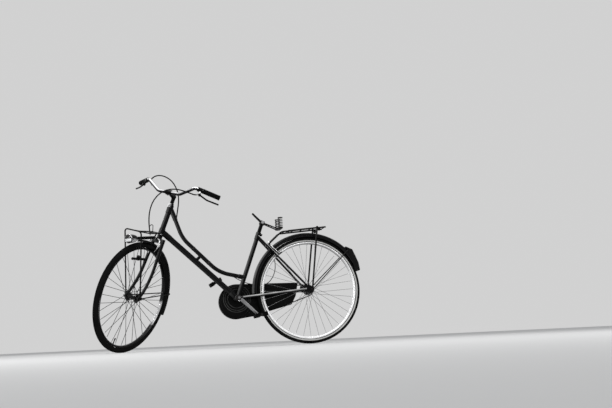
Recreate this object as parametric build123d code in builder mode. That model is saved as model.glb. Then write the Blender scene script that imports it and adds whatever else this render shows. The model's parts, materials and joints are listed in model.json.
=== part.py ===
from build123d import *
from math import cos, radians, sin, tan
import os

# City bicycle with a low swan-shaped top tube, full chain case and bare saddle frame.
# Row frame: +X forward, +Y to the rider's left, +Z up, origin at the saddle clamp,
# which is where the rider holds the machine up. All sizes below are in millimetres and
# degrees. Places are measured from the rear axle (x, forward), from the middle plane
# (y, left) and from the ground (z, up), with the steering straight ahead.

# Wheels
RIM_SEAT_RADIUS = 317.0
RIM_DEPTH = 14.0
RIM_WIDTH = 25.0
RIM_SIDE = 8.0
TYRE_HEIGHT = 33.0
TYRE_WIDTH = 37.0
WHEEL_RADIUS = RIM_SEAT_RADIUS + TYRE_HEIGHT
SPOKE_COUNT = 36
SPOKE_RADIUS = 1.1
SPOKE_CROSS_ANGLE = 60.0
SPOKE_FLANGE_GAP = 0.1
HUB_BODY_RADIUS = 15.0
FLANGE_RADIUS = 28.0
FLANGE_HOLE_RADIUS = 22.5
FLANGE_THICKNESS = 3.2
AXLE_RADIUS = 4.75
AXLE_CLEARANCE = 0.05
AXLE_END = 9.0
NUT_WIDTH = 15.0
NUT_HEIGHT = 9.0
REAR_AXLE_Z = 350.0

# Steering
STEER_ANGLE = 54.4
HEAD_ANGLE = 70.0
HEAD_FOOT_X = 960.0
HEAD_FOOT_Z = 732.0
HEAD_LENGTH = 183.0
HEAD_RADIUS = 17.0
HEAD_COLLAR_RADIUS = 19.5
HEAD_COLLAR_LENGTH = 22.0
HEADSET_RADIUS = 20.5
HEADSET_CUP = 9.0
FORK_ROOM = 84.0
FORK_LENGTH = WHEEL_RADIUS + FORK_ROOM
FORK_RAKE = 54.0
STEERER_RADIUS = 12.7
RUNNING_GAP = 0.3

# Main tubes
BRACKET_X = 476.0
BRACKET_Z = 311.0
BRACKET_RADIUS = 21.0
BRACKET_WIDTH = 68.0
SEAT_ANGLE = 70.2
SEAT_TUBE_LENGTH = 452.0
SEAT_TUBE_RADIUS = 14.3
SEAT_LUG_RADIUS = 17.0
SEAT_LUG_LENGTH = 52.0
LUG_BOLT_DROP = 11.0
LUG_EAR_RADIUS = 6.5
POST_RADIUS = 12.5
POST_LENGTH = 520.0
DOWN_TUBE_RADIUS = 16.0
DOWN_TUBE_RISE = 24.0
TOP_TUBE_RADIUS = 13.0
TOP_TUBE_ROOT = (889.0, 892.0)
TOP_TUBE_KNEE = (822.0, 706.0)
TOP_TUBE_HEEL = (593.0, 481.0)
TOP_TUBE_FOOT_Z = 444.0
TOP_TUBE_BENDS = [230.0, 230.0]
LUG_WALL = 1.8
BRACKET_LUG_LENGTH = 58.0
HEAD_LUG_LENGTH = 74.0
SEAT_SOCKET_LENGTH = 40.0
TUBE_BRIDGE_X = 725.0
TUBE_BRIDGE_RADIUS = 6.0
CHAIN_STAY_RADIUS = 8.5
CHAIN_STAY_ROOT_Y = 20.0
SEAT_STAY_RADIUS = 7.5
SEAT_STAY_ROOT_Y = 24.0
SEAT_STAY_ROOT = 424.0
DROPOUT_Y = 62.5
DROPOUT_THICKNESS = 5.0
FRONT_DROPOUT_Y = 50.0

# Drive
CHAIN_PITCH = 12.7
CHAIN_Y = -47.0
CHAIN_WIDTH = 7.6
CHAIN_HALF_HEIGHT = 4.2
CHAIN_WAIST = 3.0
CHAIN_SAG_X = 110.0
CHAIN_SAG_Z = 276.0
RING_TEETH = 40
COG_TEETH = 18
TOOTH_CLEARANCE = 0.5
RING_THICKNESS = 2.6
CRANK_LENGTH = 170.0
CRANK_ANGLE = 43.0
CRANK_THICKNESS = 12.0
CRANK_BOSS_RADIUS = 17.0
CRANK_EYE_RADIUS = 12.0
CRANK_EDGE = 3.0
COTTER_RADIUS = 3.8
COTTER_REACH = 22.0
LEFT_CRANK_Y = 70.0
RIGHT_CRANK_Y = -82.0
CRANK_AXLE_RADIUS = 8.5
PEDAL_LENGTH = 92.0
PEDAL_WIDTH = 82.0
PEDAL_HEIGHT = 26.0
PEDAL_GAP = 8.0
PEDAL_BARREL_RADIUS = 10.0
PEDAL_PLATE = 3.0
PEDAL_PLATE_HEIGHT = 18.0
PEDAL_BLOCK_WIDTH = 27.0
PEDAL_GROOVES = 6
PEDAL_GROOVE_WIDTH = 3.0
PEDAL_GROOVE_DEPTH = 2.0
PEDAL_PIN_RADIUS = 6.0
PEDAL_TILT_LEFT = -12.0
PEDAL_TILT_RIGHT = -30.0
CASE_INNER_Y = -36.0
CASE_WIDTH = 33.0
CASE_WALL = 1.2
CASE_DRUM_X = 480.0
CASE_DRUM_Z = 291.0
CASE_DRUM_RADIUS = 113.0
CASE_TOP_Z = 404.0
CASE_TAIL_X = 66.0
CASE_CORNER = 16.0
CASE_RINGS = [56.0, 98.0]
CASE_RING_WIDTH = 5.0
CASE_RING_RISE = 1.6

# Guards
GUARD_THICKNESS = 1.2
REAR_GUARD_GAP = 30.0
REAR_GUARD_RADIUS = WHEEL_RADIUS + REAR_GUARD_GAP
REAR_GUARD_WIDTH = 46.0
REAR_GUARD_DEPTH = 22.0
REAR_GUARD_TAIL = 19.0
REAR_GUARD_NOSE = 182.0
FRONT_GUARD_GAP = 13.0
FRONT_GUARD_RADIUS = WHEEL_RADIUS + FRONT_GUARD_GAP
FRONT_GUARD_WIDTH = 42.0
FRONT_GUARD_DEPTH = 14.0
FRONT_GUARD_NOSE = 90.0
FRONT_GUARD_TAIL = -25.0
STAY_WIRE_RADIUS = 2.3

# Handlebar, levers and saddle
STEM_RISE = 92.0
BAR_RADIUS = 11.1
BAR_CENTRE = (931.0, 0.0, 1003.0)
BAR_SHOULDER = (934.0, 82.0, 1006.0)
BAR_CORNER = (916.0, 181.0, 1064.0)
BAR_END = (824.0, 313.0, 1021.0)
BAR_BENDS = [40.0, 26.0]
GRIP_RADIUS = 15.0
GRIP_LENGTH = 108.0

POST_DEPTH = 120.0
POST_TIP = 12.0
STEM_QUILL = 42.0
STEM_RADIUS = 11.0
STEM_BEND = 18.0
STEM_HORN = 10.0
STEM_BOLT_RADIUS = 7.5
STEM_BOLT_HEIGHT = 6.0
STEM_CLAMP_HALF = 20.0
STEM_CLAMP_RADIUS = 16.5
GRIP_CAP = 3.0
LEVER_LEAN = 0.65
LEVER_CLAMP_INSET = 24.0
LEVER_CLAMP_LENGTH = 34.0
LEVER_CLAMP_RADIUS = 15.0
LEVER_ARM_RADIUS = 6.5
LEVER_PIVOT_DROP = 36.0
LEVER_TIP_DROP = 50.0
LEVER_RADIUS = 4.5
SADDLE_CLAMP_HEIGHT = 26.0
SADDLE_CLAMP_RADIUS = 17.0
SADDLE_BAR_RADIUS = 4.0
SADDLE_BAR_Y = 17.0
NOSE_TIP = (360.0, 862.0)
SPRING_X = 186.0
SPRING_Y = 50.0
SPRING_RADIUS = 16.0
SPRING_HEIGHT = 68.0
SPRING_FOOT_Z = 762.0
SPRING_WIRE_RADIUS = 2.6
SPRING_TURNS = 5
SPRING_PLATE = 4.0
NUTS_HEIGHT = 20.0
CROWN_BOTTOM = 56.0
CROWN_RADIUS = 17.0
SHOULDER_TOP = 30.0
BLADE_ROOT_Y = 37.0
BLADE_ROOT_RADIUS = 12.5
BLADE_BEND = 300.0
BLADE_BEND_Y = 45.0
BLADE_BEND_RADIUS = 480.0
BLADE_KNEE_RADIUS = 10.0
BLADE_TIP_RADIUS = 7.5

# Hubs, brakes and small fittings
RIM_FLOOR_HALF = 6.0
HUB_WAIST_HALF = 10.0
HUB_WAIST_RADIUS = 12.0
CONE_RADIUS = 8.0
CONE_GAP = 0.5
COG_SEAT_RADIUS = 13.0
SPOKE_BEND = 1.4
SPOKE_RIM_GAP = 0.3
SPOKE_RIM_Y = 3.0
RING_WINDOW_CENTRE = 46.0
RING_WINDOW_RADIUS = 17.0
CHAIN_BEND_RADIUS = 45.0
CASE_MOUTH = [(52.0, 402.8), (72.0, 402.8), (90.0, 318.0), (118.0, 266.0), (106.0, 250.0), (70.0, 310.0)]
CASE_HOLE_RADIUS = 24.0
CASE_STAY_SLOT = [(408.0, 302.0), (408.0, 332.0), (188.0, 352.0), (188.0, 323.0)]
GUARD_CROWN = 0.45
RAIL_RADIUS = 4.0
CROSS_WIRE_RADIUS = 3.0
LEG_RADIUS = 4.0
CLIP_X = 130.0
CLIP_COIL_RADIUS = 7.0
CLIP_TIP_X = -70.0
CLIP_TIP_RISE = 3.0
CLIP_Y = 30.0
CARRIER_TAIL_X = -120.0
CARRIER_TAIL_RISE = 32.0
CARRIER_TAIL_Z = REAR_AXLE_Z + REAR_GUARD_RADIUS + CARRIER_TAIL_RISE
CARRIER_FRONT_X = 182.0
CARRIER_FRONT_RISE = 3.0
CARRIER_HALF = 54.0
CARRIER_BEND = 40.0
LEG_TOP_X = -60.0
LEG_FOOT = (-9.0, 14.0)
LAMP_WIDTH = 50.0
LENS_RADIUS = 19.0
LENS_DEPTH = 6.0
ARM_RADIUS = 4.5
ARM_SPREAD = 38.0
BOLT_RADIUS = 4.0
ANCHORS = {"front": (-46.0, 12.0), "rear": (-52.0, -20.0)}
BLOCK_RADIUS = RIM_SEAT_RADIUS - RIM_SIDE
BLOCK_GAP = 3.0
BLOCK_THICKNESS = 9.0
BLOCK_HEIGHT = 9.0
BLOCK_LENGTH = 48.0
CALIPER_STANDS = {"front": 17.0, "rear": 22.0}
STAY_BRIDGE_RADIUS = 6.0
STAY_BRIDGE_ROOM = 27.5
STAY_EYE_STEP = 1.0
HOOP_RADIUS = 3.5
HOOP_X = 1244.0
HOOP_Y = 62.0
HOOP_Z = 770.0
FRONT_RAIL_REAR_X = 1000.0
HEADLAMP_X = 1196.0
HEADLAMP_Z = 717.0
HEADLAMP_RADIUS = 27.0
HEADLAMP_LENGTH = 84.0
HEADLAMP_RIM = 8.0
LAMP_ARM_HEIGHT = 15.0
LAMP_ARM_THICKNESS = 4.0
CABLE_RADIUS = 2.5

rim_inner = RIM_SEAT_RADIUS - RIM_DEPTH
SADDLE_X = BRACKET_X - POST_LENGTH * cos(radians(SEAT_ANGLE))
SADDLE_Z = BRACKET_Z + POST_LENGTH * sin(radians(SEAT_ANGLE))

head_up = Vector(-cos(radians(HEAD_ANGLE)), 0, sin(radians(HEAD_ANGLE)))
head_front = Vector(sin(radians(HEAD_ANGLE)), 0, cos(radians(HEAD_ANGLE)))
head_foot = Vector(HEAD_FOOT_X, 0, HEAD_FOOT_Z)
seat_up = Vector(-cos(radians(SEAT_ANGLE)), 0, sin(radians(SEAT_ANGLE)))
bracket = Vector(BRACKET_X, 0, BRACKET_Z)
rear_axle_point = Vector(0, 0, REAR_AXLE_Z)
front_axle_point = head_foot - head_up * FORK_LENGTH + head_front * FORK_RAKE
left = Vector(0, 1, 0)


def turned(direction):
    """The direction after the steering is turned to where it rests."""
    return Vector(direction).rotate(Axis((0, 0, 0), tuple(head_up)), STEER_ANGLE)


# The two frames that pieces are placed in: the frame of the bicycle, and the same
# ground coordinates carried round with the steering.
FRAME = Plane(origin=(-SADDLE_X, 0, -SADDLE_Z))
STEERED = Plane(
    origin=FRAME.from_local_coords(head_foot) - turned(head_foot),
    x_dir=turned((1, 0, 0)),
    z_dir=turned((0, 0, 1)),
)


def spot(place, point):
    return place.from_local_coords(Vector(point))


def heading(place, direction):
    return spot(place, direction) - spot(place, (0, 0, 0))


def section(place, centre, normal, across=None):
    """A sketch plane at a point, facing along a direction, both in ground coordinates."""
    if across is None:
        return Plane(origin=spot(place, centre), z_dir=heading(place, normal))
    return Plane(origin=spot(place, centre), x_dir=heading(place, across), z_dir=heading(place, normal))


def fitting_bends(path, bends):
    """Radii of the bends, each no larger than the straight runs beside it leave room for."""
    if not hasattr(bends, "__len__"):
        bends = [bends] * (len(path) - 2)
    arcs = []
    for number, bend in enumerate(bends):
        before, after = path[number + 1] - path[number], path[number + 2] - path[number + 1]
        first_share = 0.98 if number == 0 else 0.49
        last_share = 0.98 if number == len(path) - 3 else 0.49
        room = min(before.length * first_share, after.length * last_share)
        arcs.append(min(bend, room / tan(radians(before.get_angle(after) / 2))))
    return arcs


def rod(place, points, radius, bends=None):
    """A round rod or tube along straight runs, with tangent arcs at its corners."""
    path = [spot(place, point) for point in points]
    with BuildPart() as piece:
        with BuildLine() as run:
            if len(path) == 2:
                Line(path[0], path[1])
            else:
                FilletPolyline(*path, radius=fitting_bends(path, bends))
        with BuildSketch(Plane(origin=path[0], z_dir=path[1] - path[0])):
            Circle(radius)
        sweep(path=run.wire())
    return piece.part


def lathe(place, centre, axial, outline):
    """A turned piece: outline points are (distance along the axis, radius)."""
    origin = spot(place, centre)
    along = heading(place, axial)
    side = Plane(origin=origin, z_dir=along).x_dir
    with BuildPart() as piece:
        with BuildSketch(Plane(origin=origin, x_dir=along, z_dir=along.cross(side))):
            with BuildLine():
                Polyline(*outline, close=True)
            make_face()
        revolve(axis=Axis(origin, along))
    return piece.part


def strip(place, start, end, thickness, height):
    """A flat steel strip on edge from one point to another."""
    with BuildPart() as piece:
        with BuildSketch(section(place, start, end - start, left)):
            Rectangle(thickness, height)
        extrude(amount=(end - start).length)
    return piece.part


def plate(place, centre, normal, across, thickness, circles, holes=()):
    """A flat plate, centred on its plane, whose outline wraps round a few circles."""
    with BuildPart() as piece:
        with BuildSketch(section(place, centre, normal, across)) as face:
            for x, y, radius in circles:
                with Locations((x, y)):
                    Circle(radius)
            make_hull()
        with BuildSketch(section(place, centre, normal, across)) as gaps:
            for x, y, radius in holes:
                with Locations((x, y)):
                    Circle(radius)
        extrude(face.sketch, amount=thickness / 2, both=True)
        if holes:
            extrude(gaps.sketch, amount=thickness, both=True, mode=Mode.SUBTRACT)
    return piece.part


def pitch_radius(teeth):
    return CHAIN_PITCH / (2 * sin(radians(180.0 / teeth)))


def save(piece, name):
    piece.label = name
    export_step(piece, f"parts/{name}.step")


os.makedirs("parts", exist_ok=True)

# Head tube with a collar at each end, where the lugs wrap it
COLLAR_LOW = 40.0
COLLAR_HIGH = 34.0
COLLAR_STEP = 3.0
HEAD_BORE = 14.7
with BuildPart() as head_outside:
    add(
        lathe(
            FRAME,
            head_foot,
            head_up,
            [
                (0, 0),
                (0, HEAD_COLLAR_RADIUS),
                (COLLAR_LOW, HEAD_COLLAR_RADIUS),
                (COLLAR_LOW + COLLAR_STEP, HEAD_RADIUS),
                (HEAD_LENGTH - COLLAR_HIGH - COLLAR_STEP, HEAD_RADIUS),
                (HEAD_LENGTH - COLLAR_HIGH, HEAD_COLLAR_RADIUS),
                (HEAD_LENGTH, HEAD_COLLAR_RADIUS),
                (HEAD_LENGTH, 0),
            ],
        )
    )
with BuildPart() as head_tube:
    add(head_outside.part)
    with BuildSketch(section(FRAME, head_foot, head_up)):
        Circle(HEAD_BORE)
    extrude(amount=HEAD_LENGTH, mode=Mode.SUBTRACT)
save(head_tube.part, "head_tube")

# Headset cups pressed on the ends of the head tube
with BuildPart() as headset_cups:
    for along, step in ((0, -1), (HEAD_LENGTH, 1)):
        add(
            lathe(
                FRAME,
                head_foot + head_up * along,
                head_up * step,
                [
                    (0, HEAD_BORE),
                    (0, HEAD_COLLAR_RADIUS),
                    (2, HEADSET_RADIUS),
                    (HEADSET_CUP - 2, HEADSET_RADIUS),
                    (HEADSET_CUP, HEADSET_RADIUS - 2),
                    (HEADSET_CUP, HEAD_BORE),
                ],
            )
        )
save(headset_cups.part, "headset_cups")

# Bottom bracket shell
BRACKET_RIM = 3.0
with BuildPart() as bottom_bracket:
    add(
        lathe(
            FRAME,
            bracket - left * BRACKET_WIDTH / 2,
            left,
            [
                (0, CRANK_AXLE_RADIUS + AXLE_CLEARANCE),
                (0, BRACKET_RADIUS - BRACKET_RIM),
                (BRACKET_RIM, BRACKET_RADIUS),
                (BRACKET_WIDTH - BRACKET_RIM, BRACKET_RADIUS),
                (BRACKET_WIDTH, BRACKET_RADIUS - BRACKET_RIM),
                (BRACKET_WIDTH, CRANK_AXLE_RADIUS + AXLE_CLEARANCE),
            ],
        )
    )
save(bottom_bracket.part, "bottom_bracket")

# Seat tube and its lug, which clamps the post
with BuildPart() as seat_tube:
    add(rod(FRAME, [bracket, bracket + seat_up * SEAT_TUBE_LENGTH], SEAT_TUBE_RADIUS))
    add(
        lathe(
            FRAME,
            bracket + seat_up * (SEAT_TUBE_LENGTH - SEAT_LUG_LENGTH),
            seat_up,
            [
                (0, 0),
                (0, SEAT_TUBE_RADIUS),
                (COLLAR_STEP, SEAT_LUG_RADIUS),
                (SEAT_LUG_LENGTH, SEAT_LUG_RADIUS),
                (SEAT_LUG_LENGTH, 0),
            ],
        )
    )
    lug_top = bracket + seat_up * (SEAT_TUBE_LENGTH - LUG_BOLT_DROP)
    lug_back = Vector(-sin(radians(SEAT_ANGLE)), 0, -cos(radians(SEAT_ANGLE)))
    add(rod(FRAME, [lug_top, lug_top + lug_back * (SEAT_LUG_RADIUS + 9)], LUG_EAR_RADIUS))
    add(rod(FRAME, [lug_top + lug_back * (SEAT_LUG_RADIUS + 3) + left * y for y in (-15, 15)], BOLT_RADIUS))
    with BuildSketch(section(FRAME, bracket, left)):
        Circle(BRACKET_RADIUS)
    extrude(amount=BRACKET_WIDTH, both=True, mode=Mode.SUBTRACT)
    with BuildSketch(section(FRAME, bracket + seat_up * (SEAT_TUBE_LENGTH - POST_DEPTH), seat_up)):
        Circle(POST_RADIUS)
    extrude(amount=POST_LENGTH, mode=Mode.SUBTRACT)
save(seat_tube.part, "seat_tube")

def sleeve(place, root, way, radius, length):
    """The socket of a lug round the end of a tube, thinned towards its mouth."""
    return lathe(
        place,
        root,
        way,
        [(0, 0), (0, radius + LUG_WALL), (length - LUG_WALL, radius + LUG_WALL), (length, radius), (length, 0)],
    )


# Down tube, with the sockets of its lugs
down_root = head_foot + head_up * DOWN_TUBE_RISE
with BuildPart() as down_tube:
    add(rod(FRAME, [bracket, down_root], DOWN_TUBE_RADIUS))
    down_way = (down_root - bracket).normalized()
    add(sleeve(FRAME, bracket, down_way, DOWN_TUBE_RADIUS, BRACKET_LUG_LENGTH))
    add(sleeve(FRAME, down_root, -down_way, DOWN_TUBE_RADIUS, HEAD_LUG_LENGTH))
    with BuildSketch(section(FRAME, bracket, left)):
        Circle(BRACKET_RADIUS)
    extrude(amount=BRACKET_WIDTH, both=True, mode=Mode.SUBTRACT)
    for neighbour in (head_outside, seat_tube):
        add(neighbour.part, mode=Mode.SUBTRACT)
    with BuildSketch(section(FRAME, head_foot, head_up)):
        Circle(HEADSET_RADIUS + RUNNING_GAP)
    extrude(amount=-HEAD_LENGTH, mode=Mode.SUBTRACT)
save(down_tube.part, "down_tube")

# Swan-shaped top tube, from high on the head tube down to low on the seat tube
top_root = Vector(TOP_TUBE_ROOT[0], 0, TOP_TUBE_ROOT[1])
foot_share = (TOP_TUBE_FOOT_Z - BRACKET_Z) / sin(radians(SEAT_ANGLE))
top_foot = bracket + seat_up * foot_share
top_knee = Vector(TOP_TUBE_KNEE[0], 0, TOP_TUBE_KNEE[1])
top_heel = Vector(TOP_TUBE_HEEL[0], 0, TOP_TUBE_HEEL[1])
with BuildPart() as top_tube:
    add(rod(FRAME, [top_foot, top_heel, top_knee, top_root], TOP_TUBE_RADIUS, TOP_TUBE_BENDS))
    add(sleeve(FRAME, top_root, (top_knee - top_root).normalized(), TOP_TUBE_RADIUS, HEAD_LUG_LENGTH))
    add(sleeve(FRAME, top_foot, (top_heel - top_foot).normalized(), TOP_TUBE_RADIUS, SEAT_SOCKET_LENGTH))
    add(head_outside.part, mode=Mode.SUBTRACT)
    with BuildSketch(section(FRAME, bracket, seat_up)):
        Circle(SEAT_TUBE_RADIUS)
    extrude(amount=SEAT_TUBE_LENGTH, mode=Mode.SUBTRACT)
save(top_tube.part, "top_tube")

# Short strut between the two tubes
down_slope = (down_root.Z - bracket.Z) / (down_root.X - bracket.X)
knee_slope = (top_knee.Z - top_heel.Z) / (top_knee.X - top_heel.X)
STRUT_FOOT_X = TUBE_BRIDGE_X + 20
STRUT_HEAD_X = TUBE_BRIDGE_X - 18
strut_foot = Vector(STRUT_FOOT_X, 0, bracket.Z + (STRUT_FOOT_X - bracket.X) * down_slope)
strut_head = Vector(STRUT_HEAD_X, 0, top_heel.Z + (STRUT_HEAD_X - top_heel.X) * knee_slope)
with BuildPart() as tube_bridge:
    add(rod(FRAME, [strut_foot, strut_head], TUBE_BRIDGE_RADIUS))
    for neighbour in (down_tube, top_tube):
        add(neighbour.part, mode=Mode.SUBTRACT)

# Rear dropouts: a plate each side that takes the two stays and the axle
DROPOUT_CIRCLES = [
    # x ahead of the axle, z above it, radius
    (0, 0, 19.0),
    (34.0, 33.0, 9.0),
    (42.0, 2.0, 9.5),
]
with BuildPart() as rear_dropouts:
    for side in (1, -1):
        add(
            plate(
                FRAME,
                rear_axle_point + left * side * DROPOUT_Y,
                (0, -1, 0),
                (1, 0, 0),
                DROPOUT_THICKNESS,
                DROPOUT_CIRCLES,
                [(0, 0, AXLE_RADIUS)],
            )
        )
save(rear_dropouts.part, "rear_dropouts")

# Chain stays and seat stays
chain_stay_end = rear_axle_point + Vector(30, 0, 2)
seat_stay_end = rear_axle_point + Vector(27, 0, 27)
seat_stay_root = bracket + seat_up * SEAT_STAY_ROOT
with BuildPart() as chain_stays:
    for side in (1, -1):
        add(
            rod(
                FRAME,
                [bracket + left * side * CHAIN_STAY_ROOT_Y, chain_stay_end + left * side * DROPOUT_Y],
                CHAIN_STAY_RADIUS,
            )
        )
    with BuildSketch(section(FRAME, bracket, left)):
        Circle(BRACKET_RADIUS)
    extrude(amount=BRACKET_WIDTH, both=True, mode=Mode.SUBTRACT)
    for neighbour in (rear_dropouts, seat_tube):
        add(neighbour.part, mode=Mode.SUBTRACT)
save(chain_stays.part, "chain_stays")

with BuildPart() as seat_stays:
    for side in (1, -1):
        root = seat_stay_root + left * side * SEAT_STAY_ROOT_Y
        add(rod(FRAME, [root, seat_stay_end + left * side * DROPOUT_Y], SEAT_STAY_RADIUS))
        with Locations(spot(FRAME, root)):
            Sphere(SEAT_STAY_RADIUS)
    for neighbour in (rear_dropouts, seat_tube):
        add(neighbour.part, mode=Mode.SUBTRACT)
save(seat_stays.part, "seat_stays")


def along_stay(share, y=0.0):
    """A point on the line of the seat stays, in the middle plane or beside it."""
    point = seat_stay_end + (seat_stay_root - seat_stay_end) * share
    return Vector(point.X, y, point.Z)


def stay_y(share):
    return DROPOUT_Y + (SEAT_STAY_ROOT_Y - DROPOUT_Y) * share


# Bridge between the seat stays, above the rear guard, where the brake bolts on. Its place
# along the stays follows from its distance to the axle.
stay_line = seat_stay_root - seat_stay_end
stay_foot = seat_stay_end - rear_axle_point
along_foot = stay_foot.dot(stay_line) / stay_line.length
bridge_reach = REAR_GUARD_RADIUS + STAY_BRIDGE_ROOM
bridge_run = (bridge_reach**2 - stay_foot.length**2 + along_foot**2) ** 0.5 - along_foot
STAY_BRIDGE_SHARE = bridge_run / stay_line.length
with BuildPart() as stay_bridge:
    half = stay_y(STAY_BRIDGE_SHARE)
    ends = [along_stay(STAY_BRIDGE_SHARE, y) for y in (-half, half)]
    add(rod(FRAME, ends, STAY_BRIDGE_RADIUS))
    add(seat_stays.part, mode=Mode.SUBTRACT)
    add(tube_bridge.part)
save(stay_bridge.part, "frame_bridges")

# Seat post, bare above the lug up to the saddle clamp
saddle_point = bracket + seat_up * POST_LENGTH
with BuildPart() as seat_post:
    add(
        rod(
            FRAME,
            [bracket + seat_up * (SEAT_TUBE_LENGTH - POST_DEPTH), saddle_point + seat_up * POST_TIP],
            POST_RADIUS,
        )
    )
save(seat_post.part, "seat_post")

# Bare saddle frame: clamp, two nose bars, two rear bars and the plate under the springs
with BuildPart() as saddle_frame:
    add(
        lathe(
            FRAME,
            saddle_point - seat_up * SADDLE_CLAMP_HEIGHT / 2,
            seat_up,
            [
                (0, POST_RADIUS),
                (0, SADDLE_CLAMP_RADIUS),
                (SADDLE_CLAMP_HEIGHT, SADDLE_CLAMP_RADIUS),
                (SADDLE_CLAMP_HEIGHT, POST_RADIUS),
            ],
        )
    )
    add(rod(FRAME, [saddle_point + left * s for s in (-30, 30)], 6.0))
    for side in (1, -1):
        hold = saddle_point + left * side * SADDLE_BAR_Y
        nose = Vector(NOSE_TIP[0], side * SADDLE_BAR_Y * 0.6, NOSE_TIP[1])
        tail = Vector(SPRING_X + 14, side * SPRING_Y * 0.5, SPRING_FOOT_Z - SADDLE_BAR_RADIUS)
        foot = Vector(SPRING_X, side * SPRING_Y, SPRING_FOOT_Z - SADDLE_BAR_RADIUS)
        add(rod(FRAME, [hold, nose], SADDLE_BAR_RADIUS))
        add(rod(FRAME, [hold, tail, foot], SADDLE_BAR_RADIUS, 14.0))
    add(rod(FRAME, [Vector(NOSE_TIP[0], y, NOSE_TIP[1]) for y in (-9, 9)], SADDLE_BAR_RADIUS))
    with BuildSketch(section(FRAME, (SPRING_X, 0, SPRING_FOOT_Z - 5), (0, 0, 1), (0, 1, 0))):
        SlotOverall(2 * SPRING_Y + 2 * SPRING_RADIUS, 2 * SPRING_RADIUS)
    extrude(amount=5)
    with BuildSketch(section(FRAME, bracket, seat_up)):
        Circle(POST_RADIUS)
    extrude(amount=POST_LENGTH + 100, mode=Mode.SUBTRACT)
save(saddle_frame.part, "saddle_frame")

# Rear saddle springs: a coil of wire each side between two round plates, its ends turned into them
coil_lift = SPRING_WIRE_RADIUS + 0.6
spring_rise = SPRING_HEIGHT - 2 * SPRING_PLATE - 2 * coil_lift
with BuildPart() as saddle_springs:
    for side in (1, -1):
        foot = Vector(SPRING_X, side * SPRING_Y, SPRING_FOOT_Z)
        for height in (0, SPRING_HEIGHT - SPRING_PLATE):
            with BuildSketch(section(FRAME, foot + Vector(0, 0, height), (0, 0, 1))):
                Circle(SPRING_RADIUS)
            extrude(amount=SPRING_PLATE)
        coil_foot = spot(FRAME, foot + Vector(0, 0, SPRING_PLATE + coil_lift))
        with BuildLine():
            coil = Helix(spring_rise / SPRING_TURNS, spring_rise, SPRING_RADIUS - SPRING_WIRE_RADIUS, center=coil_foot)
        with BuildSketch(Plane(origin=coil @ 0, z_dir=coil % 0)):
            Circle(SPRING_WIRE_RADIUS)
        sweep(path=coil, is_frenet=True)
        for end, way in ((coil @ 0, -1), (coil @ 1, 1)):
            with BuildSketch(Plane(origin=end, z_dir=(0, 0, way))):
                Circle(SPRING_WIRE_RADIUS * 0.8)
            extrude(amount=coil_lift + 1)
save(saddle_springs.part, "saddle_springs")


def tyre(place, centre):
    """A round tyre, flat where it sits on the rim."""
    with BuildPart() as piece:
        with BuildSketch(wheel_section(place, centre, 90)):
            with Locations((0, WHEEL_RADIUS - TYRE_WIDTH / 2)):
                Circle(TYRE_WIDTH / 2)
            with Locations((0, RIM_SEAT_RADIUS - TYRE_WIDTH)):
                Rectangle(2 * TYRE_WIDTH, 2 * TYRE_WIDTH, mode=Mode.SUBTRACT)
        revolve(axis=Axis(spot(place, centre), heading(place, left)))
    return piece.part


def wheel_section(place, centre, angle):
    """Sketch plane through an axle: x along the axle, y outward, turned up from the rear."""
    outward = Vector(-cos(radians(angle)), 0, sin(radians(angle)))
    return Plane(
        origin=spot(place, centre),
        x_dir=heading(place, left),
        z_dir=heading(place, left.cross(outward)),
    )


def rim(place, centre):
    """Westwood-like rim: flat sides, a dished floor towards the hub."""
    half = RIM_WIDTH / 2
    outline = [
        (-half, RIM_SEAT_RADIUS),
        (-half, RIM_SEAT_RADIUS - RIM_SIDE),
        (-RIM_FLOOR_HALF, rim_inner),
        (RIM_FLOOR_HALF, rim_inner),
        (half, RIM_SEAT_RADIUS - RIM_SIDE),
        (half, RIM_SEAT_RADIUS),
    ]
    return lathe(place, centre, left, outline)


def hub(place, centre, half_length, flange_y, barrel):
    """Hub shell with two flanges, bored for the axle."""
    bore = AXLE_RADIUS + AXLE_CLEARANCE
    inner = flange_y - FLANGE_THICKNESS / 2
    outer = flange_y + FLANGE_THICKNESS / 2
    side = [(half_length, bore), (half_length, barrel), (outer, barrel), (outer, FLANGE_RADIUS)]
    side += [(inner, FLANGE_RADIUS), (inner, HUB_BODY_RADIUS), (HUB_WAIST_HALF, HUB_WAIST_RADIUS)]
    outline = side + [(-along, radius) for along, radius in reversed(side)]
    return lathe(place, centre, left, outline)


def axle(place, centre, half_width, hub_half):
    """Fixed axle: a rod, a cone and locknut each side, and the nuts outside the dropouts."""
    reach = half_width + DROPOUT_THICKNESS / 2
    end = reach + NUT_HEIGHT + AXLE_END
    inner = half_width - DROPOUT_THICKNESS / 2
    side = [(end, 0), (end, AXLE_RADIUS), (inner, AXLE_RADIUS), (inner, CONE_RADIUS)]
    side += [(hub_half + CONE_GAP, CONE_RADIUS), (hub_half + CONE_GAP, AXLE_RADIUS)]
    outline = side + [(-along, radius) for along, radius in reversed(side)]
    with BuildPart() as piece:
        add(lathe(place, centre, left, outline))
        for step in (1, -1):
            with BuildSketch(section(place, centre + left * step * reach, left * step)):
                RegularPolygon(NUT_WIDTH / 2, 6, major_radius=False)
            extrude(amount=NUT_HEIGHT)
    return piece.part


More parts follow.
